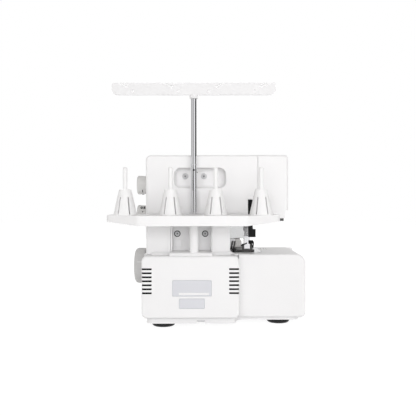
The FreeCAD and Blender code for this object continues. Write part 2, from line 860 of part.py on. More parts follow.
rear_solid = casing_solid("rear_solid", ("cover_split", "arm_rear"), "0", COLUMN_LOW, "face_seam")
rear_outer = soften("rear_outer", rear_solid,
                    (along("y", x="right_side", z="arm_top"), "corner_round"),
                    (along("x", y="arm_rear", z="arm_top"), "edge_round"),
                    (along("z", x="right_side", y="arm_rear"), "edge_round"),
                    (along("y", x="throat_right", z="arm_under"), "throat_round"))
rear_hollow = casing_solid("rear_hollow", (f"cover_split - {PAST}", "arm_rear - casing_wall"),
                           "casing_wall", f"{COLUMN_LOW} - {PAST}", f"face_seam - {PAST}")
RECESS_FLOOR = "(arm_rear - recess_depth)"
hand_tub = soften("hand_tub",
                  block("hand_tub_block", wider(("hand_left", "hand_right"), "casing_wall"),
                        (f"{RECESS_FLOOR} - casing_wall", "arm_rear - casing_wall / 2"),
                        wider(("hand_low", "hand_high"), "casing_wall")),
                  (along("y"), "hand_round + casing_wall"))
hand_pocket = soften("hand_pocket", hand_tub,
                     (within(y=f"{RECESS_FLOOR} - casing_wall"), "hand_scoop + casing_wall"))
hand_well = soften("hand_well",
                   block("hand_well_block", ("hand_left", "hand_right"),
                         (RECESS_FLOOR, f"arm_rear + {PAST}"), ("hand_low", "hand_high")),
                   (along("y"), "hand_round"))
hand_hollow = soften("hand_hollow", hand_well, (within(y=RECESS_FLOOR), "hand_scoop"))
recess_pocket = block("recess_pocket", wider(("recess_left", "recess_right"), "casing_wall"),
                      (f"{RECESS_FLOOR} - casing_wall", "arm_rear - casing_wall / 2"),
                      (COLUMN_LOW, "recess_high + casing_wall"))
recess_hollow = block("recess_hollow", ("recess_left", "recess_right"), (RECESS_FLOOR, f"arm_rear + {PAST}"),
                      ("recess_low", "recess_high"))
recess_ribs = [block(f"recess_rib_{side}", x, ("arm_rear - casing_wall", "arm_rear + rib_depth"),
                     (COLUMN_LOW, "rib_top"))
               for side, x in (("left", ("recess_left - rib_width", "recess_left")),
                               ("right", ("recess_right", "recess_right + rib_width")))]
lifter_lugs = [block(f"lifter_lug_{side}", span(start, "lifter_lug"),
                     around("lifter_pivot_y", "2 * lifter_hub_radius"),
                     ("lifter_pivot_z - lifter_hub_radius", "arm_under + casing_wall"))
               for side, start in (("left", "lifter_slot_left - lifter_lug"), ("right", "lifter_slot_right"))]
rear_shell = cut("rear_shell", rear_outer, rear_hollow)
rear_pockets = fuse("rear_pockets", rear_shell, hand_pocket, recess_pocket, *recess_ribs, *lifter_lugs)
lifter_slot = block("lifter_slot", ("lifter_slot_left", "lifter_slot_right"),
                    ("lifter_pivot_y - 2 * lifter_hub_radius", f"arm_rear + {PAST}"),
                    (f"arm_under - {PAST}", "arm_under + casing_wall"))
lifter_window = block("lifter_window", ("lifter_slot_left", "lifter_slot_right"),
                      (f"arm_rear - casing_wall - {PAST}", f"arm_rear + {PAST}"),
                      (f"arm_under - {PAST}", "lifter_slot_top"))
lifter_pin_hole = rod("lifter_pin_hole", "x", "lifter_pin_radius",
                      ("lifter_slot_left - lifter_lug", "lifter_slot_right + lifter_lug"),
                      "lifter_pivot_y", "lifter_pivot_z")
SCREWS = [(f"{name}_screw_{side}", f"{name}_screw_height")
          for name in ("hand", "recess") for side in ("left", "right")]
screw_holes = [rod(x + "_hole", "y", "screw_radius + screw_hole_gap", x,
                   (f"{RECESS_FLOOR} - casing_wall - {PAST}", f"{RECESS_FLOOR} + {PAST}"), z)
               for x, z in SCREWS]
rear_cut = cut("rear_cut", rear_pockets, hand_hollow, recess_hollow, lifter_slot, lifter_window,
               lifter_pin_hole, *screw_holes)
HAND_RIM = within(("hand_left", "hand_right"), "arm_rear", ("hand_low", "hand_high"))
part(soften("rear_cover", rear_cut, (HAND_RIM, "hand_lip")))

screws = [fuse(x + "_solid",
               rod(x + "_head", "y", "screw_head_radius", x, span(RECESS_FLOOR, "screw_head_height"), z),
               rod(x + "_shank", "y", "screw_radius", x, (f"{RECESS_FLOOR} - screw_length", RECESS_FLOOR), z))
          for x, z in SCREWS]
part(group("cover_screws", *screws))

front_solid = casing_solid("front_solid", ("arm_front", "cover_split"), "0", COLUMN_LOW, "face_seam")
front_outer = soften("front_outer", front_solid,
                     (along("y", x="right_side", z="arm_top"), "corner_round"),
                     (along("x", y="arm_front", z="arm_top"), "front_round"),
                     (along("z", x="right_side", y="arm_front"), "edge_round"),
                     (along("y", x="throat_right", z="arm_under"), "throat_round"))
front_hollow_block = casing_solid("front_hollow_block", ("arm_front + casing_wall", f"cover_split + {PAST}"),
                                  "casing_wall", f"{COLUMN_LOW} - {PAST}", f"face_seam - {PAST}")
front_hollow = soften("front_hollow", front_hollow_block,
                      (along("x", y="arm_front + casing_wall", z="arm_top - casing_wall"),
                       "front_round - casing_wall"))
DIALS = [f"(dial_first_x + {step} * dial_pitch)" for step in range(4)]
BOSS_GAP = "(dial_width / 2 + dial_slot_gap)"
AXLE_ENDS = (f"({DIALS[0]} - {BOSS_GAP} - axle_boss)", f"({DIALS[-1]} + {BOSS_GAP} + axle_boss)")
axle_bosses = [block(f"axle_boss_{side}", x, ("arm_front + casing_wall / 2", "dial_axle_y + axle_boss"),
                     around("dial_axle_z", "axle_boss_height"))
               for side, x in (("left", span(AXLE_ENDS[0], "axle_boss")),
                               ("right", (f"{AXLE_ENDS[1]} - axle_boss", AXLE_ENDS[1])))]
axle_hole = rod("axle_hole", "x", "dial_axle_radius", AXLE_ENDS, "dial_axle_y", "dial_axle_z")
dial_slots = [block(f"dial_slot_{step}", around(x, "dial_width + 2 * dial_slot_gap"),
                    (f"arm_front - {PAST}", f"arm_front + casing_wall + {PAST}"),
                    around("dial_axle_z", "2 * dial_radius")) for step, x in enumerate(DIALS)]
bar_opening = block("bar_opening", ("head_left + head_web", "head_right - head_web"),
                    ("head_front", f"cover_split + {PAST}"),
                    (f"arm_under - {PAST}", f"arm_under + casing_wall + {PAST}"))
spindle_holes = [rod(f"{knob}_spindle_hole", "x", "spindle_radius + running_gap",
                     (f"right_side - casing_wall - {PAST}", f"right_side + {PAST}"),
                     "knob_y", f"{knob}_knob_z")
                 for knob in ("length", "feed")]
stem_hole = rod("stem_hole", "z", "screw_stem_radius + running_gap", "bar_x", "presser_bar_y",
                (f"arm_top - casing_wall - {PAST}", f"arm_top + {PAST}"))
front_shell = cut("front_shell", front_outer, front_hollow)
part(cut("front_cover", fuse("front_with_bosses", front_shell, *axle_bosses),
         axle_hole, bar_opening, stem_hole, *dial_slots, *spindle_holes))

face_block = block("face_block", ("arm_left", "face_seam - seam"), ("arm_front", "arm_rear"),
                   ("arm_under", "arm_top"))
face_step = block("face_step", (f"arm_left - {PAST}", "face_step_x"),
                  (f"arm_front - {PAST}", f"arm_rear + {PAST}"),
                  (f"arm_under - {PAST}", "arm_under + face_step_height"))
face_outer = soften("face_outer", face_block,
                    (along("y", x="arm_left", z="arm_top"), "face_round"),
                    (along("x", y="arm_rear", z="arm_top"), "edge_round"),
                    (along("x", y="arm_front", z="arm_top"), "front_round"),
                    (along("z", x="arm_left"), "face_round"))
face_hollow = block("face_hollow", ("face_step_x + casing_wall", f"face_seam - seam + {PAST}"),
                    wider(("arm_front", "arm_rear"), "-casing_wall"),
                    wider(("arm_under", "arm_top"), "-casing_wall - edge_round"))
part(cut("face_cover", face_outer, face_step, face_hollow))
part(block("thread_cutter", span("face_step_x", "cutter_width"), span("cutter_y", "cutter_depth"),
           ("arm_under - cutter_height", "arm_under")))
part(block("needle_guard", ("guard_left", "guard_right"), ("arm_front - guard_thickness", "arm_front"),
           ("guard_low", "guard_top")))

# Side cover: cloth plate, left end and rear wall, sliding on two rails
SIDE_LOW = "(foot_height + side_skirt)"
side_block = block("side_block", ("bed_left", "side_cover_right"), ("bed_front", "bed_rear"),
                   (SIDE_LOW, "bed_top"))
side_ends = soften("side_ends", side_block,
                   (along("y", x="bed_left", z="bed_top"), "bed_end_round"),
                   (along("y", x="bed_left", z=SIDE_LOW), "bed_foot_round"))
side_outer = soften("side_outer", side_ends,
                    (along("x", y="bed_rear"), "edge_round"),
                    (along("z", x="bed_left", y="bed_rear"), "edge_round"))
side_inner = block("side_inner", ("bed_left + casing_wall", f"side_cover_right + {PAST}"),
                   (f"bed_front - {PAST}", "bed_rear - casing_wall"),
                   (f"{SIDE_LOW} + casing_wall", "bed_top - cloth_plate"))
side_hollow = soften("side_hollow", side_inner,
                     (along("y", x="bed_left + casing_wall", z="bed_top - cloth_plate"),
                      "bed_end_round - cloth_plate"),
                     (along("y", x="bed_left + casing_wall", z=f"{SIDE_LOW} + casing_wall"),
                      "bed_foot_round - casing_wall"))
side_floor = block("side_floor", ("bed_left + bed_foot_round", f"side_cover_right + {PAST}"),
                   (f"bed_front - {PAST}", "bed_rear - casing_wall"),
                   wider(span(SIDE_LOW, "casing_wall"), PAST))
plate_cutout = block("plate_cutout", ("plate_left - seam", f"side_cover_right + {PAST}"),
                     (f"bed_front - {PAST}", "plate_rear + seam"),
                     (f"bed_top - cloth_plate - {PAST}", f"bed_top + {PAST}"))
RAILS = ("rail_low", "rail_high")
rail_lugs = [block(f"{rail}_lug", span("rail_lug_left", "rail_lug_length"),
                   ("rail_lug_front", "bed_rear - casing_wall / 2"), around(rail, "rail_lug_height"))
             for rail in RAILS]
rail_bores = [rod(f"{rail}_bore", "x", "rail_radius + running_gap",
                  wider(span("rail_lug_left", "rail_lug_length"), PAST), "rail_y", rail) for rail in RAILS]
side_shell = cut("side_shell", side_outer, side_hollow, side_floor, plate_cutout)
part(cut("side_cover", fuse("side_with_lugs", side_shell, *rail_lugs), *rail_bores))
part(group("side_cover_rails",
           *[rod(f"{rail}_rod", "x", "rail_radius", ("rail_left", "post_right"), "rail_y", rail)
             for rail in RAILS]))

# Looper cover, which swings on a pin that slides in the pan's lugs
looper_block = block("looper_block", ("looper_left", "looper_right"), ("looper_front", "looper_back"),
                     ("looper_low", "looper_top"))
looper_outer = soften("looper_outer", looper_block,
                      (along("x", y="looper_front", z="looper_top"), "looper_round"),
                      (along("x", y="looper_front", z="looper_low"), "looper_foot_round"))
looper_inner = block("looper_inner", wider(("looper_left", "looper_right"), "-casing_wall"),
                     ("looper_front + casing_wall", f"looper_back + {PAST}"),
                     (f"looper_low - {PAST}", "looper_top - casing_wall"))
looper_hollow = soften("looper_hollow", looper_inner,
                       (along("x", y="looper_front + casing_wall", z="looper_top - casing_wall"),
                        "looper_round - casing_wall"))
end_relief = block("end_relief", wider(("looper_left", "looper_right"), PAST),
                   ("looper_front + casing_wall", f"looper_back + {PAST}"),
                   (f"looper_low - {PAST}", "looper_low + looper_end_relief"))
hinge_ears = [block(f"hinge_ear_{side}", around(f"hinge_ear_{side}", "hinge_ear_width"),
                    ("looper_front + casing_wall / 2", "hinge_y + hinge_lug_radius"),
                    around("hinge_z", "2 * hinge_lug_radius")) for side in ("left", "right")]
ear_bore = rod("ear_bore", "x", "hinge_pin_radius + running_gap",
               ("hinge_pin_left", "hinge_pin_right"), "hinge_y", "hinge_z")
looper_shell = cut("looper_shell", looper_outer, looper_hollow, end_relief)
part(cut("looper_cover", fuse("looper_with_ears", looper_shell, *hinge_ears), ear_bore))
part(rod("looper_cover_pin", "x", "hinge_pin_radius", ("hinge_pin_left", "hinge_pin_right"),
         "hinge_y", "hinge_z"))

# Needle plate with a needle slot and two feed slots
PLATE_LOW = "(bed_top - plate_thickness)"
RAIL_OFFSET = "(feed_rail_gap + feed_rail_width) / 2"
FEED_RAILS = (("left", f"bar_x - {RAIL_OFFSET}"), ("right", f"bar_x + {RAIL_OFFSET}"))
plate_blank = block("plate_blank", ("plate_left", "plate_right"), ("plate_front", "plate_rear"),
                    (PLATE_LOW, "bed_top"))
needle_slot = block("needle_slot", around("bar_x", "needle_slot_length"),
                    around("needle_bar_y", "needle_slot_width"),
                    wider((PLATE_LOW, "bed_top"), PAST))
feed_slots = [block(f"feed_slot_{side}", around(x, "feed_rail_width + 2 * feed_slot_side"),
                    wider(("feed_front", "feed_rear"), "feed_slot_end"), wider((PLATE_LOW, "bed_top"), PAST))
              for side, x in FEED_RAILS]
part(cut("needle_plate", plate_blank, needle_slot, *feed_slots))

# Aluminium frame: sole, pillar, beam and head, with bores for its bushes
frame_pieces = [
    block("frame_sole", ("sole_left", "sole_right"), ("sole_front", "sole_rear"), (FRAME_FLOOR, SOLE_TOP)),
    block("frame_pillar", ("pillar_left", "pillar_right"), ("pillar_front", "pillar_rear"),
          (FRAME_FLOOR, "pillar_top")),
    block("frame_beam", ("head_left", "pillar_right"), ("beam_front", "beam_rear"), ("beam_low", "beam_top")),
    block("frame_post", ("post_left", "post_right"), ("sole_front", "post_rear"), (FRAME_FLOOR, "post_top")),
    block("frame_back_web", ("back_web_left", "post_right"),
          ("plate_rear - back_web_thickness", "plate_rear"),
          (FRAME_FLOOR, PLATE_LOW)),
    block("frame_front_arm", ("front_arm_left", "post_right"),
          ("plate_front + seam", "sole_front + front_arm_depth"),
          (f"{PLATE_LOW} - front_arm_height", PLATE_LOW)),
    block("frame_knife_guide", ("knife_bar_right + guide_gap", "post_left"),
          span("knife_front", "knife_depth"),
          ("knife_guide_low", "post_top - knife_depth")),
    block("frame_head_low", ("head_left", "head_right"), ("head_front", "head_rear"),
          span("head_low", "head_plate")),
    block("frame_head_high", ("head_left", "head_right"), ("head_front", "head_rear"),
          span("head_high", "head_plate")),
    block("frame_head_web", ("head_right - head_web", "head_right"), ("head_front", "head_rear"),
          ("head_low", "beam_top")),
    block("frame_saddle", span("saddle_left", "saddle_length"), around("motor_y", "saddle_width"),
          (FRAME_FLOOR, f"{SOLE_TOP} + saddle_height")),
]
BARS = (("needle_bar", "needle_bar_y"), ("presser_bar", "presser_bar_y"))
SHAFT_SEATS = (("post", ("post_left", "post_right")), ("pillar", ("pillar_left", "pillar_right")))
frame_bores = [
    rod("frame_motor_seat", "x", "motor_radius", span("motor_left", "motor_length"), "motor_y", "motor_z"),
    *[rod(f"{seat}_shaft_bore", "x", "shaft_radius + bush_wall", wider(x, PAST), "shaft_y", "shaft_z")
      for seat, x in SHAFT_SEATS],
    *[rod(f"{bar}_bore", "z", f"{bar}_radius + bush_wall", "bar_x", y,
          (f"head_low - {PAST}", f"beam_top + {PAST}"))
      for bar, y in BARS],
    *[rod(f"{rail}_seat", "x", "rail_radius", ("post_left", f"post_right + {PAST}"), "rail_y", rail)
      for rail in RAILS],
    *[rod(f"{looper}_pin_seat", "y", "looper_pin_radius", f"{looper}_x",
          ("plate_rear - back_web_thickness", f"plate_rear + {PAST}"), f"{looper}_z")
      for looper in ("upper_looper", "lower_looper")],
]
part(cut("frame_casting", fuse("frame_solid", *frame_pieces), *frame_bores))

bushes = [cut(f"{seat}_bush",
              rod(f"{seat}_bush_outer", "x", "shaft_radius + bush_wall", x, "shaft_y", "shaft_z"),
              rod(f"{seat}_bush_bore", "x", "shaft_radius + running_gap", wider(x, PAST),
                  "shaft_y", "shaft_z"))
          for seat, x in SHAFT_SEATS]
for bar, y in BARS:
    for level in ("head_low", "head_high"):
        seat = span(level, "head_plate")
        bushes.append(cut(f"{bar}_{level}_bush",
                          rod(f"{bar}_{level}_outer", "z", f"{bar}_radius + bush_wall", "bar_x", y, seat),
                          rod(f"{bar}_{level}_inner", "z", f"{bar}_radius + running_gap", "bar_x", y,
                              wider(seat, PAST))))
part(group("bronze_bushes", *bushes))

# Main shaft, handwheel, motor and belt
WHEEL_LEFT = "(base_right + wheel_gap)"
part(rod("main_shaft", "x", "shaft_radius", ("shaft_left", f"{WHEEL_LEFT} + wheel_width - wheel_dish"),
         "shaft_y", "shaft_z"))
wheel_turned = turned("wheel_turned", "x", WHEEL_LEFT, "shaft_y", "shaft_z", [
    ("shaft_radius", "0"),
    ("wheel_radius", "0"),
    ("wheel_radius", "wheel_width"),
    ("wheel_radius - wheel_rim - wheel_round", "wheel_width"),
    ("wheel_hub_radius + wheel_rim", "wheel_width - wheel_dish"),
    ("shaft_radius", "wheel_width - wheel_dish"),
])


def rim(radius, x):
    """Picker of the circular edges of a radius about the X axis in one plane."""
    def pick(edge):
        curve = edge.Curve
        return (isinstance(curve, Part.Circle) and abs(curve.Radius - value(radius)) < CLOSE
                and abs(curve.Center.x - value(x)) < CLOSE)
    return pick


part(soften("handwheel", wheel_turned, (rim("wheel_radius", f"{WHEEL_LEFT} + wheel_width"), "wheel_round"),
            (rim("wheel_radius", WHEEL_LEFT), "wheel_rim / 2")))
PULLEY = span("pulley_left", "pulley_width")
part(cut("shaft_pulley", rod("shaft_pulley_rim", "x", "pulley_radius", PULLEY, "shaft_y", "shaft_z"),
         rod("shaft_pulley_bore", "x", "shaft_radius", wider(PULLEY, PAST), "shaft_y", "shaft_z")))
part(cut("motor_pulley", rod("motor_pulley_rim", "x", "motor_pulley_radius", PULLEY, "motor_y", "motor_z"),
         rod("motor_pulley_bore", "x", "motor_shaft_radius", wider(PULLEY, PAST), "motor_y", "motor_z")))
MOTOR = span("motor_left", "motor_length")
MOTOR_SHAFT = (f"{MOTOR[0]} + motor_radius / 2", f"{PULLEY[1]}")
part(cut("motor", rod("motor_can", "x", "motor_radius", MOTOR, "motor_y", "motor_z"),
         rod("motor_bearing", "x", "motor_shaft_radius + running_gap", MOTOR_SHAFT, "motor_y", "motor_z")))
part(rod("motor_shaft", "x", "motor_shaft_radius", MOTOR_SHAFT, "motor_y", "motor_z"))


def belt_wire(offset):
    """Loop of two arcs and two tangents round both pulleys, a distance off their rims."""
    big = value("pulley_radius") + offset
    small = value("motor_pulley_radius") + offset
    shaft = Vector(0, value("shaft_y"), value("shaft_z"))
    motor = Vector(0, value("motor_y"), value("motor_z"))
    run = motor - shaft
    heading = math.atan2(run.z, run.y)
    wrap = math.acos((big - small) / run.Length)

    def on(centre, radius, angle):
        return centre + Vector(0, radius * math.cos(angle), radius * math.sin(angle))

    upper, lower = heading + wrap, heading - wrap
    return Part.Wire([
        Part.Arc(on(shaft, big, upper), on(shaft, big, heading + math.pi), on(shaft, big, lower)).toShape(),
        Part.LineSegment(on(shaft, big, lower), on(motor, small, lower)).toShape(),
        Part.Arc(on(motor, small, lower), on(motor, small, heading), on(motor, small, upper)).toShape(),
        Part.LineSegment(on(motor, small, upper), on(shaft, big, upper)).toShape(),
    ])


belt_inside = value("running_gap")
belt_face = Part.Face(belt_wire(belt_inside + value("belt_thickness"))).cut(Part.Face(belt_wire(belt_inside)))
belt = doc.addObject("Part::Feature", "drive_belt")
belt.Shape = belt_face.extrude(Vector(value("belt_width"), 0, 0)).Solids[0]
part(place(belt, "pulley_left + (pulley_width - belt_width) / 2"))

# Needle bar with its clamp and two needles
part(rod("needle_bar", "z", "needle_bar_radius", "bar_x", "needle_bar_y",
         ("needle_bar_low", "needle_bar_top")))
clamp_block = block("clamp_block", around("bar_x", "clamp_size"), around("needle_bar_y", "clamp_size"),
                    span("clamp_low", "clamp_height"))
clamp_bore = rod("clamp_bore", "z", "needle_bar_radius", "bar_x", "needle_bar_y",
                 ("needle_bar_low", f"clamp_low + clamp_height + {PAST}"))
part(cut("needle_clamp", clamp_block, clamp_bore))
needles = []
for side, x in (("left", "bar_x - needle_pitch / 2"), ("right", "bar_x + needle_pitch / 2")):
    point = "(needle_tip + needle_pitch)"
    needles.append(fuse(f"needle_{side}",
                        rod(f"needle_{side}_blade", "z", "needle_radius", x, "needle_bar_y",
                            (point, "clamp_low")),
                        spike(f"needle_{side}_point", "0", "needle_radius", x, "needle_bar_y",
                              ("needle_tip", point))))
part(group("needles", *needles))

# Presser bar, spring, holder and hinged foot
part(fuse("presser_bar",
          rod("presser_rod", "z", "presser_bar_radius", "bar_x", "presser_bar_y",
              ("presser_bar_low", "presser_bar_top")),
          rod("presser_collar", "z", "collar_radius", "bar_x", "presser_bar_y",
              span("collar_low", "collar_height"))))
SPRING = ("collar_low + collar_height", "head_high")
part(cut("presser_spring", rod("spring_outer", "z", "spring_radius", "bar_x", "presser_bar_y", SPRING),
         rod("spring_inner", "z", "spring_radius - spring_wire", "bar_x", "presser_bar_y",
             wider(SPRING, PAST))))
holder_block = block("holder_block", around("bar_x", "holder_width"), ("holder_front", "holder_rear"),
                     ("holder_low", "holder_top"))
holder_bore = rod("holder_bore", "z", "presser_bar_radius", "bar_x", "presser_bar_y",
                  ("presser_bar_low", f"holder_top + {PAST}"))
holder_pin_bore = rod("holder_pin_bore", "x", "foot_pin_radius", around("bar_x", f"holder_width + {PAST}"),
                      "foot_pin_y", "foot_pin_z")
part(cut("foot_holder", holder_block, holder_bore, holder_pin_bore))
FOOT_PIN = around("bar_x", "holder_width + 2 * ear_gap + 2 * foot_ear")
part(rod("foot_pin", "x", "foot_pin_radius", FOOT_PIN, "foot_pin_y", "foot_pin_z"))
SOLE = span("bed_top + sole_gap", "sole_thickness")
foot_plate = block("foot_plate", ("foot_plate_left", "foot_plate_right"),
                   ("foot_plate_front", "foot_plate_rear"), SOLE)
foot_toe = soften("foot_toe", foot_plate, (along("z", y="foot_plate_front"), "ear_radius"))
foot_window = block("foot_window", around("bar_x", "foot_window_width"),
                    ("foot_window_front", "foot_window_rear"),
                    wider(SOLE, PAST))
ears = []
for side, x in (("left", span(FOOT_PIN[0], "foot_ear")),
                ("right", (f"{FOOT_PIN[1]} - foot_ear", FOOT_PIN[1]))):
    ears.append(block(f"foot_ear_{side}", x, around("foot_pin_y", "2 * ear_radius"), (SOLE[0], "foot_pin_z")))
    ears.append(rod(f"foot_eye_{side}", "x", "ear_radius", x, "foot_pin_y", "foot_pin_z"))
heel_relief = block("heel_relief", wider(FOOT_PIN, PAST), ("foot_plate_rear", "foot_pin_y + 2 * ear_radius"),
                    (f"{SOLE[0]} - {PAST}", SOLE[1]))
foot_bore = rod("foot_bore", "x", "foot_pin_radius + running_gap", wider(FOOT_PIN, PAST),
                "foot_pin_y", "foot_pin_z")
foot_fork = cut("foot_fork", foot_toe, foot_window)
part(cut("presser_foot", fuse("foot_with_ears", foot_fork, *ears), foot_bore, heel_relief))

# Lifter: a lever on a pin under the arm, its tail in the slot of the rear cover
GRIP_REAR = "lifter_grip_front + lifter_grip_depth"
lever = cut_plate("lifter_lever", "YZ_Plane", [
    ("lifter_pivot_y + lifter_hub_radius / 2", "lifter_tail_top"),
    ("arm_rear - casing_wall - guide_gap", "lifter_tail_top"),
    ("lifter_pivot_y + lifter_hub_radius", "lifter_pivot_z + lifter_hub_radius"),
    (GRIP_REAR, "lifter_low + lifter_grip_height"),
    (GRIP_REAR, "lifter_low"),
    ("lifter_grip_front", "lifter_low"),
    ("lifter_grip_front", "lifter_low + lifter_grip_height / 2"),
    ("lifter_pivot_y - lifter_hub_radius", "lifter_pivot_z"),
], "lifter_plate", x="lifter_x - lifter_plate / 2")
lifter_hub = rod("lifter_hub", "x", "lifter_hub_radius",
                 wider(("lifter_slot_left", "lifter_slot_right"), "-guide_gap"),
                 "lifter_pivot_y", "lifter_pivot_z")
lifter_grip = block("lifter_grip", ("lifter_grip_left", "lifter_x + lifter_plate / 2"),
                    span("lifter_grip_front", "lifter_grip_depth"), span("lifter_low", "lifter_grip_height"))
lifter_bore = rod("lifter_bore", "x", "lifter_pin_radius + running_gap",
                  ("lifter_slot_left", "lifter_slot_right"),
                  "lifter_pivot_y", "lifter_pivot_z")
part(cut("foot_lifter", fuse("lifter_solid", lever, lifter_hub, lifter_grip), lifter_bore))

# Pins that stay in the casing: lifter pin and looper pins
LIFTER_PIN = ("lifter_slot_left - lifter_lug", "lifter_slot_right + lifter_lug")
pivot_pins = [rod("lifter_pin", "x", "lifter_pin_radius", LIFTER_PIN, "lifter_pivot_y", "lifter_pivot_z")]
for looper in ("upper_looper", "lower_looper"):
    pivot_pins.append(rod(f"{looper}_pin", "y", "looper_pin_radius", f"{looper}_x",
                          (f"{looper}_y - looper_hub_length / 2", "plate_rear"), f"{looper}_z"))
part(group("pivot_pins", *pivot_pins))


# Loopers: a hub on its pin and a flat hooked blade
def looper(name, outline):
    blade = cut_plate(f"{name}_blade", "XZ_Plane", outline, "looper_blade", y=f"{name}_y - looper_blade / 2")
    along_y = around(f"{name}_y", "looper_hub_length")
    hub = rod(f"{name}_hub", "y", "looper_hub_radius", f"{name}_x", along_y, f"{name}_z")
    bore = rod(f"{name}_bore", "y", "looper_pin_radius + running_gap", f"{name}_x", wider(along_y, PAST),
               f"{name}_z")
    return part(cut(name, fuse(f"{name}_solid", blade, hub), bore))


looper("upper_looper", [
    ("upper_looper_x - looper_arm / 2", "upper_looper_z"),
    ("upper_looper_x + looper_arm / 2", "upper_looper_z"),
    ("upper_looper_x + looper_arm", "upper_looper_z + upper_looper_rise - 2 * looper_arm"),
    ("upper_looper_x + upper_looper_reach", "upper_looper_z + upper_looper_rise"),
    ("upper_looper_x - looper_arm / 2", "upper_looper_z + upper_looper_rise - looper_arm"),
])
looper("lower_looper", [
    ("lower_looper_x - looper_arm / 2", "lower_looper_z - looper_arm / 2"),
    ("lower_looper_x + looper_arm / 2", "lower_looper_z + looper_arm / 2"),
    ("lower_looper_x - lower_looper_throw + looper_arm", "lower_looper_z + lower_looper_rise - looper_arm"),
    ("lower_looper_x - looper_arm / 2", "lower_looper_z + lower_looper_rise"),
    ("lower_looper_x - lower_looper_throw", "lower_looper_z + lower_looper_rise - looper_arm / 2"),
    ("lower_looper_x - lower_looper_throw", "lower_looper_z + lower_looper_rise - 2 * looper_arm"),
])

# Knives: the upper one slides beside a guide on the frame, the lower one is held by the post
KNIFE = span("knife_front", "knife_depth")
part(fuse("upper_knife",
          block("knife_bar", ("knife_bar_left", "knife_bar_right"), KNIFE, ("knife_bar_low", "knife_top")),
          block("knife_cross", ("blade_left", "knife_bar_right"), KNIFE,
                ("knife_top - knife_arm", "knife_top")),
          block("knife_blade", span("blade_left", "blade_thickness"), KNIFE, ("blade_low", "knife_top"))))
LOWER_KNIFE = span("blade_left + blade_thickness + guide_gap", "blade_thickness")
part(fuse("lower_knife",
          block("lower_blade", LOWER_KNIFE, span("knife_front", "lower_knife_depth"),
                ("lower_knife_low", "lower_knife_top")),
          block("lower_shank", (LOWER_KNIFE[0], "post_left"),
                span("knife_front + knife_depth + guide_gap", "lower_knife_foot"),
                span("lower_knife_low", "lower_knife_depth"))))

# Feed dog: two toothed rails in the plate's slots, joined below by two bridges
feed_rails = [block(f"feed_rail_{side}", around(x, "feed_rail_width"), ("feed_front", "feed_rear"),
                    ("feed_low", "feed_top"))
              for side, x in FEED_RAILS]
feed_bridges = [block(f"feed_bridge_{side}", around("bar_x", "feed_rail_gap + feed_rail_width"), y,
                      span("feed_low", "feed_bridge"))
                for side, y in (("front", span("feed_front", "feed_bridge")),
                                ("rear", ("feed_rear - feed_bridge", "feed_rear")))]
part(fuse("feed_dog", *feed_rails, *feed_bridges))

# Tension dials on one axle behind the front slots
for step, x in enumerate(DIALS, 1):
    part(turned(f"tension_dial_{step}", "x", f"{x} - dial_width / 2", "dial_axle_y", "dial_axle_z", [
        ("dial_axle_radius + running_gap", "0"),
        ("dial_radius - dial_bevel", "0"),
        ("dial_radius", "dial_bevel"),
        ("dial_radius", "dial_width - dial_bevel"),
        ("dial_radius - dial_bevel", "dial_width"),
        ("dial_axle_radius + running_gap", "dial_width"),
    ]))
part(rod("tension_axle", "x", "dial_axle_radius", AXLE_ENDS, "dial_axle_y", "dial_axle_z"))


# Knobs turned with their spindles
def knob(name, axis, x, y, z, stem_radius, stem, radius, flare, edge, length):
    return part(turned(name, axis, x, y, z, [
        ("0", f"-({stem})"),
        (stem_radius, f"-({stem})"),
        (stem_radius, "0"),
        (f"{radius} - {flare}", "0"),
        (radius, f"{length} - {edge}"),
        (f"{radius} - {edge}", length),
        ("0", length),
    ]))


for name, z in (("stitch_length_knob", "length_knob_z"), ("differential_knob", "feed_knob_z")):
    knob(name, "x", "right_side + knob_gap", "knob_y", z, "spindle_radius", "spindle_reach",
         "knob_radius", "knob_flare", "knob_edge", "knob_length")
knob("pressure_screw", "z", "bar_x", "presser_bar_y", "arm_top + guide_gap",
     "screw_stem_radius", "screw_stem_length", "screw_knob_radius", "guide_gap", "guide_gap", "screw_knob_height")

# Power rocker and inlet in the right side of the base
rocker_cap = block("rocker_cap", ("base_right + rocker_proud - rocker_depth", "base_right + rocker_proud"),
                   around("rocker_y", "rocker_width"), around("rocker_z", "rocker_height"))
rocker_pin = rod("rocker_pin", "y", "rocker_pin_radius", "rocker_pin_x",
                 around("rocker_y", "rocker_width + 2 * rocker_lug"), "rocker_z")
part(fuse("power_rocker", rocker_cap, rocker_pin))
inlet_body = block("inlet_body", ("base_right - inlet_depth", "base_right"), around("inlet_y", "inlet_width"),
                   around("inlet_z", "inlet_height"))
inlet_well = block("inlet_well", ("base_right - inlet_depth + inlet_rim", f"base_right + {PAST}"),
                   around("inlet_y", "inlet_width - 2 * inlet_rim"),
                   around("inlet_z", "inlet_height - 2 * inlet_rim"))
inlet_pins = [rod(f"inlet_pin_{side}", "x", "inlet_pin_radius",
                  span("base_right - inlet_depth + inlet_rim / 2", "inlet_pin_length"), y, "inlet_z")
              for side, y in (("front", "inlet_y - inlet_pin_pitch / 2"),
                              ("rear", "inlet_y + inlet_pin_pitch / 2"))]
part(fuse("power_inlet", cut("inlet_shell", inlet_body, inlet_well), *inlet_pins))

# Thread tray: a shallow lid whose skirt is deeper in the middle, with a notch for the lifter hand
TRAY_LOW = "(tray_top - tray_skirt)"
SPOOLS = [f"(stand_x + {step} * spool_pitch)" for step in (-1.5, -0.5, 0.5, 1.5)]


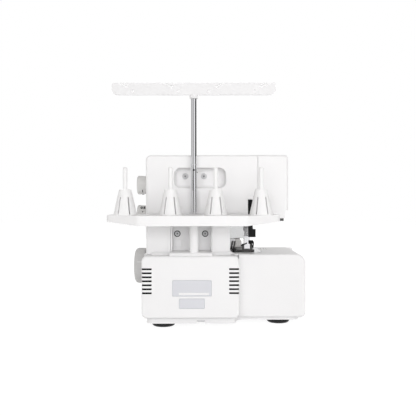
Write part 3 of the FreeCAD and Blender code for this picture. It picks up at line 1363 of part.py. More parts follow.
def tray_solid(name, inset, z):
    """Tray outline set in by a wall: straight at the back in the middle, drawn in towards both ends."""
    drawn_in = f"tray_rear - tray_end_depth - {inset} / 2"
    return cut_plate(name, "XY_Plane", [
        (f"stand_x - tray_width / 2 + {inset}", f"tray_front + {inset}"),
        (f"stand_x + tray_width / 2 - {inset}", f"tray_front + {inset}"),
        (f"stand_x + tray_width / 2 - {inset}", drawn_in),
        (f"stand_x + tray_flat / 2 - {inset} / 2", f"tray_rear - {inset}"),
        (f"stand_x - tray_flat / 2 + {inset} / 2", f"tray_rear - {inset}"),
        (f"stand_x - tray_width / 2 + {inset}", drawn_in),
    ], f"({z[1]}) - ({z[0]})", z=z[0])


tray_outer = soften("tray_outer", tray_solid("tray_block", "0", (TRAY_LOW, "tray_top")),
                    (along("z"), "tray_round"))
tray_inner = tray_solid("tray_inner", "tray_wall", (f"{TRAY_LOW} - {PAST}", "tray_top - tray_wall"))
tray_hollow = soften("tray_hollow", tray_inner, (along("z"), "tray_round - tray_wall"))
tray_tapers = [cut_plate(f"tray_taper_{side}", "XZ_Plane", [
    (f"stand_x {sign} tray_flat / 2", TRAY_LOW),
    (f"stand_x {sign} tray_width / 2", "tray_top - tray_end_skirt"),
    (f"stand_x {sign} (tray_width / 2 + {PAST})", f"{TRAY_LOW} - {PAST}"),
    (f"stand_x {sign} tray_flat / 2", f"{TRAY_LOW} - {PAST}"),
], f"tray_rear - tray_front + 2 * {PAST}", y=f"tray_front - {PAST}")
               for side, sign in (("left", "-"), ("right", "+"))]
lifter_notch = block("lifter_notch", wider(("lifter_grip_left", "lifter_slot_right"), "lifter_notch_gap"),
                     (f"tray_front - {PAST}", "tray_front + lifter_notch_depth"),
                     wider((TRAY_LOW, "tray_top"), PAST))
pole_hole = rod("pole_hole", "z", "lower_pole_radius", "stand_x", "pole_y",
                wider((TRAY_LOW, "tray_top"), PAST))
pin_holes = [rod(f"pin_hole_{step}", "z", "spool_pin_foot_radius", x, "spool_y",
                 wider((TRAY_LOW, "tray_top"), PAST))
             for step, x in enumerate(SPOOLS, 1)]
part(cut("thread_tray", tray_outer, tray_hollow, *tray_tapers, lifter_notch, pole_hole, *pin_holes))

# Telescopic pole in its socket
socket_block = block("socket_block", around("stand_x", "socket_width"), around("pole_y", "socket_depth"),
                     ("bed_top", "tray_top - tray_wall"))
socket_bore = rod("socket_bore", "z", "lower_pole_radius", "stand_x", "pole_y",
                  ("socket_bore_low", f"tray_top + {PAST}"))
part(cut("pole_socket", socket_block, socket_bore))
lower_tube = rod("lower_tube", "z", "lower_pole_radius", "stand_x", "pole_y",
                 ("socket_bore_low", "lower_pole_top"))
tube_bore = rod("tube_bore", "z", "upper_pole_radius + running_gap", "stand_x", "pole_y",
                ("socket_bore_low + tray_wall", f"lower_pole_top + {PAST}"))
part(cut("lower_pole", lower_tube, tube_bore))
part(rod("upper_pole", "z", "upper_pole_radius", "stand_x", "pole_y", ("upper_pole_low", "upper_pole_top")))

# Thread guide bar: a thin plate with closed holes and slotted holes, on a hub that swivels on the pole
BAR_X = around("stand_x", "guide_bar_width")
BAR_Y = around("pole_y", "guide_bar_thickness")
BAR_TOP = "(guide_bar_low + guide_bar_height)"
bar_block = block("bar_block", BAR_X, BAR_Y, ("guide_bar_low", BAR_TOP))
bar_plate = soften("bar_plate", bar_block, (along("y", z="guide_bar_low"), "guide_bar_round"),
                   (along("y", z=BAR_TOP), "guide_hole_radius"))
slope = math.radians(value("guide_slot_angle"))
guide_cuts = []
for index, (sign, step) in enumerate([("-", 1), ("-", 0), ("+", 0), ("+", 1)]):
    closed_x = f"(stand_x {sign} (closed_hole_first + {step} * closed_hole_pitch))"
    open_x = f"(stand_x {sign} (slot_hole_first + {step} * slot_hole_pitch))"
    open_z = f"({BAR_TOP} - slot_hole_drop)"
    across = f"(guide_slot_width / 2 * {math.sin(slope):.6f})"
    upward = f"(guide_slot_width / 2 * {math.cos(slope):.6f})"
    reach = f"((slot_hole_drop + {PAST}) / {math.tan(slope):.6f})"
    guide_cuts.append(rod(f"closed_hole_{index}", "y", "guide_hole_radius", closed_x, wider(BAR_Y, PAST),
                          f"{BAR_TOP} - closed_hole_drop"))
    guide_cuts.append(rod(f"slot_hole_{index}", "y", "guide_hole_radius", open_x, wider(BAR_Y, PAST), open_z))
    guide_cuts.append(cut_plate(f"guide_slot_{index}", "XZ_Plane", [
        (f"{open_x} {sign} (-{across})", f"{open_z} + {upward}"),
        (f"{open_x} {sign} ({reach} - {across})", f"{BAR_TOP} + {PAST} + {upward}"),
        (f"{open_x} {sign} ({reach} + {across})", f"{BAR_TOP} + {PAST} - {upward}"),
        (f"{open_x} {sign} {across}", f"{open_z} - {upward}"),
    ], f"guide_bar_thickness + 2 * {PAST}", y=f"{BAR_Y[0]} - {PAST}"))
bar_hub = rod("bar_hub", "z", "bar_hub_radius", "stand_x", "pole_y",
              ("guide_bar_low - bar_hub_height", "guide_bar_low"))
hub_bore = rod("hub_bore", "z", "upper_pole_radius + running_gap", "stand_x", "pole_y",
               (f"guide_bar_low - bar_hub_height - {PAST}", "upper_pole_top + running_gap"))
pierced_bar = cut("pierced_bar", bar_plate, *guide_cuts)
part(cut("thread_guide_bar", fuse("bar_with_hub", pierced_bar, bar_hub), hub_bore))

# Spool pins and the slit cones that seat on them
CONE_TOP = "(tray_top + cone_height)"
pins = [turned(f"spool_pin_{step}", "z", x, "spool_y", "tray_top", [
    ("0", "-tray_wall"),
    ("spool_pin_foot_radius", "-tray_wall"),
    ("spool_pin_foot_radius", "cone_height"),
    ("spool_pin_radius", "cone_height"),
    ("spool_pin_radius", "spool_pin_top - spool_pin_tip - tray_top"),
    ("spool_pin_radius - spool_pin_tip", "spool_pin_top - tray_top"),
    ("0", "spool_pin_top - tray_top"),
]) for step, x in enumerate(SPOOLS, 1)]
part(group("spool_pins", *pins))


def radial_slit(name, x, y, angle):
    """Upright wall through a cone's axis, turned by an angle."""
    obj = doc.addObject("Part::Box", name)
    obj.Placement = Placement(Vector(), Rotation(Vector(0, 0, 1), angle))
    bind(obj, Length="2 * cone_base_radius", Width="cone_slit_width", Height="cone_slit_height + cone_rim")
    cosine = f"{math.cos(math.radians(angle)):.6f}"
    sine = f"{math.sin(math.radians(angle)):.6f}"
    return place(obj, f"{x} - cone_base_radius * {cosine} + cone_slit_width / 2 * {sine}",
                 f"{y} - cone_base_radius * {sine} - cone_slit_width / 2 * {cosine}", "tray_top + cone_rim")


slit_walls = int(value("cone_slit_count")) // 2
for step, x in enumerate(SPOOLS, 1):
    cone = turned(f"cone_blank_{step}", "z", x, "spool_y", "tray_top", [
        ("spool_pin_foot_radius", "0"),
        ("cone_base_radius", "0"),
        ("cone_base_radius", "cone_rim"),
        ("cone_top_radius", "cone_height"),
        ("spool_pin_foot_radius", "cone_height"),
    ])
    walls = [radial_slit(f"slit_{step}_{turn}", x, "spool_y", 180 * turn / slit_walls)
             for turn in range(slit_walls)]
    core = rod(f"slit_core_{step}", "z", "cone_top_radius - cone_slit_depth", x, "spool_y",
               wider(("tray_top", CONE_TOP), PAST))
    part(cut(f"spool_cone_{step}", cone, cut(f"slits_{step}", fuse(f"slit_star_{step}", *walls), core)))

doc.recompute()
for obj in doc.Objects:
    if "Invalid" in obj.State or "Error" in obj.State:
        raise RuntimeError(f"{obj.Label} did not build: {obj.State}")
for obj in parts:
    if obj.Shape.isNull() or not obj.Shape.isValid() or not obj.Shape.Solids:
        raise RuntimeError(f"{obj.Label} is not a valid solid")
os.makedirs("parts", exist_ok=True)
for obj in parts:
    obj.Shape.exportStep(f"parts/{obj.Label}.step")
print(len(parts), "sub-parts written")
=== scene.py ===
"""Looks of an overlock sewing machine with a thread stand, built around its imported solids."""

from contextlib import contextmanager
from functools import cache, partial
from math import cos, pi, radians, sin

import bmesh
import bpy
from mathutils import Matrix, Vector


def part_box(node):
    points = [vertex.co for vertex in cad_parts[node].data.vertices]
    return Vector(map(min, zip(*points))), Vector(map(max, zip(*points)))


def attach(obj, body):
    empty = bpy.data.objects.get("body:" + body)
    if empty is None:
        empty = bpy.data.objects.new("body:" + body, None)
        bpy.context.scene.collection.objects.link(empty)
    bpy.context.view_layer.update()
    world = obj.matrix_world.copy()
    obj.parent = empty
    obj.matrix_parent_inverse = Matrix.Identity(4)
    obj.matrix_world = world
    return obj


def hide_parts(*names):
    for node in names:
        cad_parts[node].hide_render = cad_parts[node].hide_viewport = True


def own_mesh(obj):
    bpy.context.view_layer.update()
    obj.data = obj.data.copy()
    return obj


bl_info = {
    "name": "Overlock Machine Looks",
    "version": (1, 0, 0),
    "blender": (4, 5, 0),
    "location": "3D View > Sidebar > Overlock",
    "description": "Finishes and small fittings of an overlock sewing machine with a thread stand",
    "category": "Object",
}

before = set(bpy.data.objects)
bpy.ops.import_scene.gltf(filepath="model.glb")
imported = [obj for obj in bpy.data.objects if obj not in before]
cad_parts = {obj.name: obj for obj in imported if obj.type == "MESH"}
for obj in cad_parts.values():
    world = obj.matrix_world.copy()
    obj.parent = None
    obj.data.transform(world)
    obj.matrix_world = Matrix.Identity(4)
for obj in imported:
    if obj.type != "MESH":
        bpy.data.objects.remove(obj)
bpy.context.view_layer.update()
MM = 0.001

# Planes of the solids in millimetres. Y runs to the back, which the camera sees.
BED_TOP, BASE_BACK, RECESS_BACK, ARM_FRONT = 120, 58, 10, -78
LOUVRES, LOUVRE_PITCH = 7, 6.6
# X of the dials, Y and Z of the level axes, X and Y of the pole, radii on which figures stand.
DIAL_PLACES = (-40, -10, 20, 50)
DIAL_AXIS, DIAL_RIM = (-66, 245), 20.0
LENGTH_KNOB_AXIS, FEED_KNOB_AXIS, KNOB_RIM = (-40, 239), (-40, 186), 16.8
WHEEL_AXIS = (-30, 95)
POLE_AXIS = (26.5, 43)
# X, Z and turn in degrees of the cover screws.
HAND_SCREWS = ((42, 253, 20), (10, 253, -12))
RECESS_SCREWS = ((56, 154, 5), (8, 154, 40))

TO_BACK, TO_FRONT, UP = (0, 1, 0), (0, -1, 0), (0, 0, 1)
SAME_WAY = 0.9  # cosine from which two directions count as one
MERGE = 0.002 * MM
SMOOTH_BELOW = radians(32)
FONT_SIZE, FONT_WEIGHT, FONT_SPACING = 1.4, 0.05, 1.3

WHITE = (1, 1, 1, 1)
DUST_COLOUR = (0.42, 0.40, 0.37, 1)
MOULD_DEPTH, DRAWN_DEPTH = 0.12 * MM, 0.05 * MM
COAT_ROUGHNESS = 0.18
CLEAR_IOR = 1.49

# Camera and mirrors see floor and world as white; the light they give the machine is weaker.
FLOOR_SEEN, FLOOR_UNSEEN, FLOOR_GLOW = 0.19, 0.82, 0.925
WORLD_WARM, WORLD_FILL = (1.0, 0.975, 0.945, 1), 0.42
LAMP_COLOUR, LAMP_TARGET = (0.985, 0.99, 1.0), Vector((0, 0, 0.2))
# Place, width and height in metres and power in watts.
LAMPS = (
    ("low", (-0.25, 2.2, 0.36), 2.8, 0.7, 27.5),
    ("high", (-0.1, 2.2, 1.15), 1.8, 1.0, 8.5),
    ("front", (0.3, -2.0, 0.35), 2.4, 0.6, 17),
    ("right", (2.0, -0.4, 0.35), 1.4, 0.6, 8),
    ("left", (-2.0, -0.4, 0.35), 1.4, 0.6, 10),
)
# Corners in millimetres and brightness of the cards that polished metal mirrors.
CARDS = (
    ("grey_card", (1200, 380, 0), (1204, 2000, 1400), 0.66),
    ("back_card", (1200, -1500, 0), (1204, 376, 1400), 0.44),
    ("lens_card", (-100, 1500, 0), (902, 1504, 1400), 0.36),
    ("dark_card", (-904, -1500, 0), (-900, 900, 1400), 0.12),
    ("black_card", (110, 700, 0), (707, 704, 298), 0.02),
)
CAMERA_PLACE = (5.63 * MM, 1000.3 * MM, 215.9 * MM)
CAMERA_TURN = (pi / 2 - 0.0178, 0.0014, pi - 0.0027)
CAMERA_LENS = 49.7

colour_choice = partial(bpy.props.FloatVectorProperty, subtype="COLOR", min=0, max=1)
length_choice = partial(bpy.props.FloatProperty, unit="LENGTH")


class FinishColours(bpy.types.PropertyGroup):
    """Colours of the machine's finishes."""

    casing: colour_choice(
        name="Casing", description="White of the mouldings", default=(0.875, 0.870, 0.873))
    stand: colour_choice(
        name="Spool pins", description="White of pins and cones", default=(0.865, 0.862, 0.862))
    knob: colour_choice(
        name="Knobs", description="Grey of the side knobs", default=(0.70, 0.695, 0.685))
    wheel: colour_choice(
        name="Handwheel", description="Grey of the handwheel", default=(0.60, 0.595, 0.59))
    dial: colour_choice(
        name="Dials", description="Grey of the tension dials", default=(0.50, 0.51, 0.53))
    plate: colour_choice(
        name="Plates", description="Grey of the plates on the back", default=(0.68, 0.685, 0.72))
    # Also the colour of the painted shade in the screw recesses and thread slots.
    ink: colour_choice(
        name="Figures", description="Dark grey of figures and marks", default=(0.035, 0.035, 0.038))


class FittingSizes(bpy.types.PropertyGroup):
    """Sizes of the small fittings."""

    screw_slot: length_choice(
        name="Cross recess", description="Width of a screw's cross recess", default=1.0 * MM)
    spring_wire: length_choice(
        name="Spring wire", description="Thickness of the presser spring's wire", default=1.4 * MM)
    spring_turns: bpy.props.IntProperty(
        name="Spring turns", description="Turns of the presser spring", default=6, min=3, max=12)
    figure_height: length_choice(
        name="Figures", description="Height of the figures on knobs and dials", default=5.4 * MM)
    tooth_pitch: length_choice(
        name="Tooth pitch", description="Distance between the feed dog's teeth", default=1.6 * MM)
    socket_round: length_choice(
        name="Socket round", description="Radius on the pole socket's corners", default=6.6 * MM)
    plate_thickness: length_choice(
        name="Plates", description="Thickness of the plates on the back", default=0.35 * MM)


def looks():
    """Colours that the panel shows."""
    return bpy.context.scene.overlock_colours


def sizes():
    """Sizes that the panel shows."""
    return bpy.context.scene.overlock_sizes


def knot(tree, kind, feeds=(), **settings):
    """Shader node; feeds gives its inputs a number, a colour or another node's output."""
    node = tree.nodes.new(kind)
    for name, setting in settings.items():
        setattr(node, name, setting)
    for name, feed in dict(feeds).items():
        if isinstance(feed, bpy.types.NodeSocket):
            tree.links.new(feed, node.inputs[name])
        else:
            node.inputs[name].default_value = feed
    return node


def sums(tree, operation, first, second):
    """Output of a sum of two numbers or outputs."""
    return knot(tree, "ShaderNodeMath", {0: first, 1: second}, operation=operation).outputs[0]


def tinted(tree, share, first, second, how="MIX"):
    """Output of two colours mixed by a share."""
    feeds = {0: share, 6: first, 7: second}
    return knot(tree, "ShaderNodeMix", feeds, data_type="RGBA", blend_type=how).outputs[2]


def ranged(tree, feed, low, high, least=0.0, most=1.0):
    """Output of a number mapped from one range to another."""
    feeds = {0: feed, 1: low, 2: high, 3: least, 4: most}
    return knot(tree, "ShaderNodeMapRange", feeds).outputs[0]


def noise(tree, place, scale, detail):
    """Output of a noise over the surface."""
    feeds = {"Vector": place, "Scale": scale, "Detail": detail}
    return knot(tree, "ShaderNodeTexNoise", feeds).outputs[0]


def place_on(tree):
    """Output with the place on the object."""
    return knot(tree, "ShaderNodeTexCoord").outputs["Object"]


def seen_rays(tree):
    """Mask of the rays from the camera, of reflections and through clear sheets."""
    path = knot(tree, "ShaderNodeLightPath").outputs
    mirrored = sums(tree, "MAXIMUM", path["Is Glossy Ray"], path["Is Transmission Ray"])
    return sums(tree, "MAXIMUM", path["Is Camera Ray"], mirrored)


def grey(level):
    """Colour of one grey level."""
    return level, level, level, 1


def surface_group(name, asks, gives):
    """New group of shader nodes with its inputs and outputs."""
    group = bpy.data.node_groups.new(name, "ShaderNodeTree")
    for side, sockets in (("INPUT", asks), ("OUTPUT", gives)):
        for title, kind in sockets:
            group.interface.new_socket(title, in_out=side, socket_type=kind)
    ask = group.nodes.new("NodeGroupInput").outputs
    return group, ask, group.nodes.new("NodeGroupOutput").inputs


NUMBER, TINT, ARROW = "NodeSocketFloat", "NodeSocketColor", "NodeSocketVector"
SURFACE = (("Colour", TINT), ("Roughness", NUMBER), ("Height", NUMBER))


def moulded_surface():
    """Spark-eroded grain, faint flow clouds and a little dust on what faces up."""
    group, ask, give = surface_group(
        "moulded_surface",
        (("Colour", TINT), ("Roughness", NUMBER), ("Grain", NUMBER), ("Mottle", NUMBER),
         ("Dust", NUMBER)), SURFACE)
    place = place_on(group)
    cloud = noise(group, place, 11.0, 4.0)
    grain = noise(group, place, ask["Grain"], 2.0)
    specks = noise(group, place, 240.0, 5.0)
    normal = knot(group, "ShaderNodeNewGeometry").outputs["Normal"]
    upward = ranged(group, knot(group, "ShaderNodeSeparateXYZ", {0: normal}).outputs[2], 0.3, 1.0)
    dust = sums(group, "MULTIPLY", sums(group, "MULTIPLY", upward, specks), ask["Dust"])
    body = tinted(group, ask["Mottle"], ask["Colour"], cloud, "MULTIPLY")
    group.links.new(tinted(group, dust, body, DUST_COLOUR), give["Colour"])
    uneven = sums(group, "MULTIPLY", grain, 0.10)
    rough = sums(group, "ADD", sums(group, "ADD", uneven, dust), ask["Roughness"])
    group.links.new(sums(group, "SUBTRACT", rough, 0.05), give["Roughness"])
    group.links.new(grain, give["Height"])
    return group


def drawn_surface():
    """Fine lines drawn along one direction, as grinding and drawing leave them on metal."""
    group, ask, give = surface_group(
        "drawn_surface",
        (("Colour", TINT), ("Roughness", NUMBER), ("Stretch", ARROW), ("Contrast", NUMBER)),
        SURFACE)
    place = place_on(group)
    along_lines = {"Vector": place, "Scale": ask["Stretch"]}
    lines = noise(group, knot(group, "ShaderNodeMapping", along_lines).outputs[0], 1.0, 4.0)
    stain = noise(group, place, 60.0, 3.0)
    streaks = tinted(group, ask["Contrast"], ask["Colour"], lines, "MULTIPLY")
    half = sums(group, "MULTIPLY", ask["Contrast"], 0.5)
    group.links.new(tinted(group, half, streaks, stain, "MULTIPLY"), give["Colour"])
    spread = sums(group, "MULTIPLY", sums(group, "SUBTRACT", lines, 0.5), 0.22)
    group.links.new(sums(group, "ADD", ask["Roughness"], spread), give["Roughness"])
    group.links.new(lines, give["Height"])
    return group


def rubbed_marks():
    """Mask of the faint scratches that hands and cloth leave."""
    group, ask, give = surface_group("rubbed_marks", [("Amount", NUMBER)], [("Mask", NUMBER)])
    aslant = {"Vector": place_on(group), "Rotation": (0.5, 0.3, 0.7), "Scale": (60, 900, 420)}
    lines = noise(group, knot(group, "ShaderNodeMapping", aslant).outputs[0], 1.0, 3.0)
    sharp = ranged(group, lines, 0.64, 0.72)
    group.links.new(sums(group, "MULTIPLY", sharp, ask["Amount"]), give["Mask"])
    return group


def group_node(tree, maker, **feeds):
    """Node of a group, made on its first use."""
    group = bpy.data.node_groups.get(maker.__name__) or maker()
    return knot(tree, "ShaderNodeGroup", feeds, node_tree=group)


def blank_finish(name):
    """Material with its shader, ready for its surface."""
    material = bpy.data.materials.new(name)
    material.use_nodes = True
    return material, material.node_tree, material.node_tree.nodes["Principled BSDF"]


def dress(tree, shader, surface, bump, depth):
    """Feeds a surface's colour, roughness and height to the shader."""
    tree.links.new(surface.outputs["Colour"], shader.inputs["Base Color"])
    tree.links.new(surface.outputs["Roughness"], shader.inputs["Roughness"])
    relief = {"Strength": bump, "Distance": depth, "Height": surface.outputs["Height"]}
    tree.links.new(knot(tree, "ShaderNodeBump", relief).outputs[0], shader.inputs["Normal"])


def plastic(name, colour, roughness, grain=800.0, bump=0.04, mottle=0.04, dust=0.04, coat=0.0,
            marks=0.0, gloss=0.5):
    """Moulded plastic or rubber."""
    material, tree, shader = blank_finish(name)
    surface = group_node(tree, moulded_surface, Colour=(*colour, 1), Roughness=roughness,
                         Grain=grain, Mottle=mottle, Dust=dust)
    dress(tree, shader, surface, bump, MOULD_DEPTH)
    shader.inputs["Coat Weight"].default_value = coat
    shader.inputs["Coat Roughness"].default_value = COAT_ROUGHNESS
    shader.inputs["Specular IOR Level"].default_value = gloss
    if marks:
        mask = group_node(tree, rubbed_marks, Amount=marks).outputs["Mask"]
        paler = [min(1, 1.25 * part + 0.06) for part in colour] + [1]
        worn = tinted(tree, mask, surface.outputs["Colour"], paler)
        tree.links.new(worn, shader.inputs["Base Color"])
    return material


def metal(name, colour, roughness, stretch, bump=0.08, contrast=0.2, marks=0.0, bare=1.0):
    """Bare or plated metal with its drawn lines; bare is below one under a dull plating."""
    material, tree, shader = blank_finish(name)
    surface = group_node(tree, drawn_surface, Colour=(*colour, 1), Roughness=roughness,
                         Stretch=stretch, Contrast=contrast)
    dress(tree, shader, surface, bump, DRAWN_DEPTH)
    shader.inputs["Metallic"].default_value = bare
    if marks:
        mask = group_node(tree, rubbed_marks, Amount=marks).outputs["Mask"]
        dulled = sums(tree, "MULTIPLY", mask, 0.3)
        rough = sums(tree, "ADD", surface.outputs["Roughness"], dulled)
        tree.links.new(rough, shader.inputs["Roughness"])
    return material


def clear_sheet(name, colour, cover):
    """Clear tinted sheet with a fine mould grain."""
    material = plastic(name, colour, 0.14, grain=600.0, bump=0.02, mottle=0.03, dust=0.03)
    shader = material.node_tree.nodes["Principled BSDF"]
    shader.inputs["Alpha"].default_value = cover
    shader.inputs["IOR"].default_value = CLEAR_IOR
    return material


ALONG_X, ALONG_Y, ALONG_Z = (40, 1100, 1100), (1100, 40, 1100), (1100, 1100, 40)
FINISHES = {
    "casing_white": lambda: plastic("white_moulding", looks().casing, 0.34, coat=0.10),
    "pin_white": lambda: plastic("white_pin_plastic", looks().stand, 0.40, mottle=0.03),
    # A darker copy of the white plastic for the free-standing guide bar: painted shade that evens
    # out the fuller light it gets.
    "guide_white_painted_shade": lambda: plastic(
        "white_guide_plastic", (0.82, 0.815, 0.82), 0.40, mottle=0.03),
    "knob_grey": lambda: plastic("grey_knob_plastic", looks().knob, 0.40, marks=0.15),
    "wheel_grey": lambda: plastic("grey_wheel_plastic", looks().wheel, 0.42, marks=0.2),
    "dial_grey": lambda: plastic("grey_dial_plastic", looks().dial, 0.42, marks=0.15),
    "guard_grey": lambda: clear_sheet("smoked_guard_sheet", (0.42, 0.43, 0.45), 0.26),
    "shield_clear": lambda: clear_sheet("clear_shield_sheet", (0.46, 0.43, 0.40), 0.52),
    "guard_rim": lambda: plastic("brown_rim_plastic", (0.27, 0.25, 0.235), 0.4, mottle=0.2),
    "lifter_black": lambda: plastic(
        "black_lifter_paint", (0.009, 0.009, 0.010), 0.36, marks=0.2, mottle=0.3, gloss=0.16),
    "switch_black": lambda: plastic(
        "black_switch_plastic", (0.016, 0.016, 0.016), 0.40, mottle=0.3, gloss=0.25),
    # Black nylon of the pulleys; the same finish darkens the screw wells as painted shade.
    "pulley_black": lambda: plastic(
        "black_pulley_nylon", (0.020, 0.020, 0.021), 0.5, mottle=0.3, gloss=0.25),
    "motor_black": lambda: plastic(
        "black_motor_paint", (0.02, 0.02, 0.022), 0.36, mottle=0.3, coat=0.2),
    "foot_rubber": lambda: plastic(
        "black_foot_rubber", (0.008, 0.008, 0.009), 0.34, grain=900.0, bump=0.12, mottle=0.4,
        dust=0.08, gloss=0.3),
    "belt_rubber": lambda: plastic(
        "black_belt_rubber", (0.012, 0.012, 0.012), 0.7, grain=900.0, bump=0.2, mottle=0.4),
    "pole_chrome": lambda: metal(
        "chrome_tube", (0.90, 0.90, 0.92), 0.06, (300, 300, 12), contrast=0.06, bump=0.01),
    "polished_steel": lambda: metal(
        "polished_steel", (0.74, 0.74, 0.75), 0.24, ALONG_Y, marks=0.4),
    "bright_steel": lambda: metal(
        "bright_plated_steel", (0.90, 0.90, 0.92), 0.22, ALONG_Z, contrast=0.1),
    "ground_steel": lambda: metal("ground_steel", (0.40, 0.40, 0.41), 0.32, ALONG_X, bump=0.12),
    "tool_steel": lambda: metal(
        "dark_tool_steel", (0.16, 0.158, 0.155), 0.36, ALONG_Z, contrast=0.3, marks=0.4),
    "screw_steel": lambda: metal(
        "zinc_screw_steel", (0.76, 0.76, 0.77), 0.42, (500, 500, 500), bare=0.4),
    "cast_aluminium": lambda: metal(
        "cast_aluminium", (0.60, 0.61, 0.62), 0.48, (420, 420, 420), bump=0.4),
    "bush_bronze": lambda: metal(
        "sintered_bronze", (0.52, 0.34, 0.15), 0.42, (800, 800, 800), bump=0.2),
    "plate_grey": lambda: plastic("grey_plate_foil", looks().plate, 0.32, bump=0.02, coat=0.1),
    # Dark ink of figures, pointers and seam lines; the same finish is painted shade in the screw
    # recesses and thread slots.
    "mark_ink": lambda: plastic("dark_mark_ink", looks().ink, 0.6, mottle=0.2, gloss=0.15),
    "switch_ink": lambda: plastic("white_switch_ink", (0.80, 0.80, 0.80), 0.5),
    "dot_blue": lambda: plastic("blue_dot_plastic", (0.03, 0.12, 0.42), 0.4),
    "dot_red": lambda: plastic("red_dot_plastic", (0.48, 0.03, 0.03), 0.4),
    "dot_green": lambda: plastic("green_dot_plastic", (0.03, 0.28, 0.08), 0.4),
    "dot_yellow": lambda: plastic("yellow_dot_plastic", (0.70, 0.48, 0.04), 0.4),
    # Near-black finish of the painted shade inside the louvres.
    "vent_shade": lambda: plastic(
        "dark_vent_felt", (0.004, 0.004, 0.004), 0.9, bump=0.2, gloss=0.0),
}
# Solids that look different from the other pieces of their slot.
OWN_LOOKS = {
    "foot_holder": "bright_steel", "presser_foot": "tool_steel", "needle_clamp": "ground_steel",
    "upper_knife": "polished_steel", "thread_guide_bar": "guide_white_painted_shade",
}


@cache
def finish(slot):
    """Material of a slot, made on its first use."""
    return FINISHES[slot]()


def moved(*way):
    """Shift in millimetres."""
    return Matrix.Translation(Vector(way) * MM)


def spun(degrees, axis):
    """Turn round an axis through the origin."""
    return Matrix.Rotation(radians(degrees), 4, axis)


def deselect():
    """Nothing selected."""
    bpy.ops.object.select_all(action="DESELECT")


def only(piece):
    """This piece alone, selected and active."""
    deselect()
    piece.select_set(True)
    bpy.context.view_layer.objects.active = piece


def dropped(*pieces):
    """Deletes pieces that served as a pattern or a cutter."""
    for piece in pieces:
        only(piece)
        bpy.ops.object.delete()


def settled(piece, turn=None):
    """A piece with its place in its mesh, after a turn of the whole piece where one is given."""
    only(piece)
    if turn is not None:
        piece.matrix_world = turn @ piece.matrix_world
    bpy.ops.object.transform_apply(location=True, rotation=True, scale=True)
    return piece


def called(name):
    """The active object, with its new name."""
    piece = bpy.context.object
    piece.name = piece.data.name = name
    return piece


def named(name):
    """The piece just added, named and with its place in its mesh."""
    return settled(called(name))


def copied(piece, name, turn):
    """Another piece with its own mesh, moved or turned from the first."""
    only(piece)
    bpy.ops.object.duplicate(linked=False)
    return settled(called(name), turn)


def joined(name, pieces):
    """Several shapes as one piece."""
    deselect()
    for piece in pieces:
        piece.select_set(True)
    bpy.context.view_layer.objects.active = pieces[0]
    bpy.ops.object.join()
    return called(name)


def modify(piece, kind, **settings):
    """Adds a modifier, sets it and applies it."""
    only(piece)
    modifier = piece.modifiers.new(kind.lower(), kind)
    for name, setting in settings.items():
        setattr(modifier, name, setting)
    bpy.ops.object.modifier_apply(modifier=modifier.name)
    return piece


def carved(piece, cutter):
    """Takes a cutter's shape out of a piece."""
    modify(piece, "BOOLEAN", operation="DIFFERENCE", object=cutter, solver="EXACT")
    dropped(cutter)
    return piece


def repeated(piece, count, *way):
    """Row of one shape, each a step in millimetres from the last."""
    step = [part * MM for part in way]
    return modify(piece, "ARRAY", count=count, use_relative_offset=False,
                  use_constant_offset=True, constant_offset_displace=step)


@contextmanager
def shaping(piece, kind="FACE"):
    """Edit mode on one piece with all of it selected, picking faces, edges or vertices."""
    only(piece)
    bpy.ops.object.mode_set(mode="EDIT")
    bpy.ops.mesh.select_mode(type=kind)
    bpy.ops.mesh.select_all(action="SELECT")
    yield
    bpy.ops.object.mode_set(mode="OBJECT")


def pick(piece, test, kind="faces"):
    """Selects, in edit mode, only the faces or edges for which the test holds."""
    bpy.ops.mesh.select_all(action="DESELECT")
    shape = bmesh.from_edit_mesh(piece.data)
    for item in getattr(shape, kind):
        if test(item):
            item.select_set(True)
    shape.select_flush(True)
    bmesh.update_edit_mesh(piece.data)


def facing(*direction):
    """Test for faces that look one way."""
    return lambda face: face.normal.dot(Vector(direction)) > SAME_WAY


def centred(test):
    """Test for faces whose middle, in millimetres, passes a test."""
    return lambda face: test(face.calc_center_median() / MM)


def along(*direction):
    """Test for edges that run one way."""
    def runs(edge):
        way = (edge.verts[0].co - edge.verts[1].co).normalized()
        return abs(way.dot(Vector(direction))) > SAME_WAY
    return runs


def within(test):
    """Test for edges whose two ends, in millimetres, pass a test."""
    return lambda edge: all(test(end.co / MM) for end in edge.verts)


def shift(*way):
    """Moves, in edit mode, what is selected by millimetres."""
    bpy.ops.transform.translate(value=[part * MM for part in way])


def extrude(*way):
    """Extrudes, in edit mode, what is selected by millimetres."""
    bpy.ops.mesh.extrude_region_move(
        TRANSFORM_OT_translate={"value": [part * MM for part in way]})


def clean():
    """Merges, in edit mode, points that meet and turns all faces outward."""
    bpy.ops.mesh.select_all(action="SELECT")
    bpy.ops.mesh.remove_doubles(threshold=MERGE)
    bpy.ops.mesh.normals_make_consistent(inside=False)


def rounded(piece, radius, steps=2, test=None):
    """Rounds a piece's edges, or those for which a test holds, by a radius in millimetres."""
    with shaping(piece, "EDGE"):
        if test:
            pick(piece, test, "edges")
        bpy.ops.mesh.bevel(offset=radius * MM, segments=steps, affect="EDGES")
    return piece


def slanted(piece, test, *way):
    """Moves the faces for which a test holds by millimetres, so that the piece leans."""
    with shaping(piece):
        pick(piece, test)
        shift(*way)
    return piece


def block(name, low, high, radius=0.0):
    """Block between two corners in millimetres, with rounded edges."""
    low, high = Vector(low) * MM, Vector(high) * MM
    deselect()
    bpy.ops.mesh.primitive_cube_add(size=1, location=(low + high) / 2, scale=high - low)
    piece = named(name)
    return rounded(piece, radius) if radius else piece


def sunk_plate(name, low, high, corner, border, depth, toward):
    """Plate with round corners whose outer face is sunk inside a border, all in millimetres."""
    plate = rounded(block(name, low, high), corner, 5, along(*toward))
    with shaping(plate):
        pick(plate, facing(*toward))
        bpy.ops.mesh.inset(thickness=border * MM)
        shift(*(Vector(toward) * -depth))
    return plate


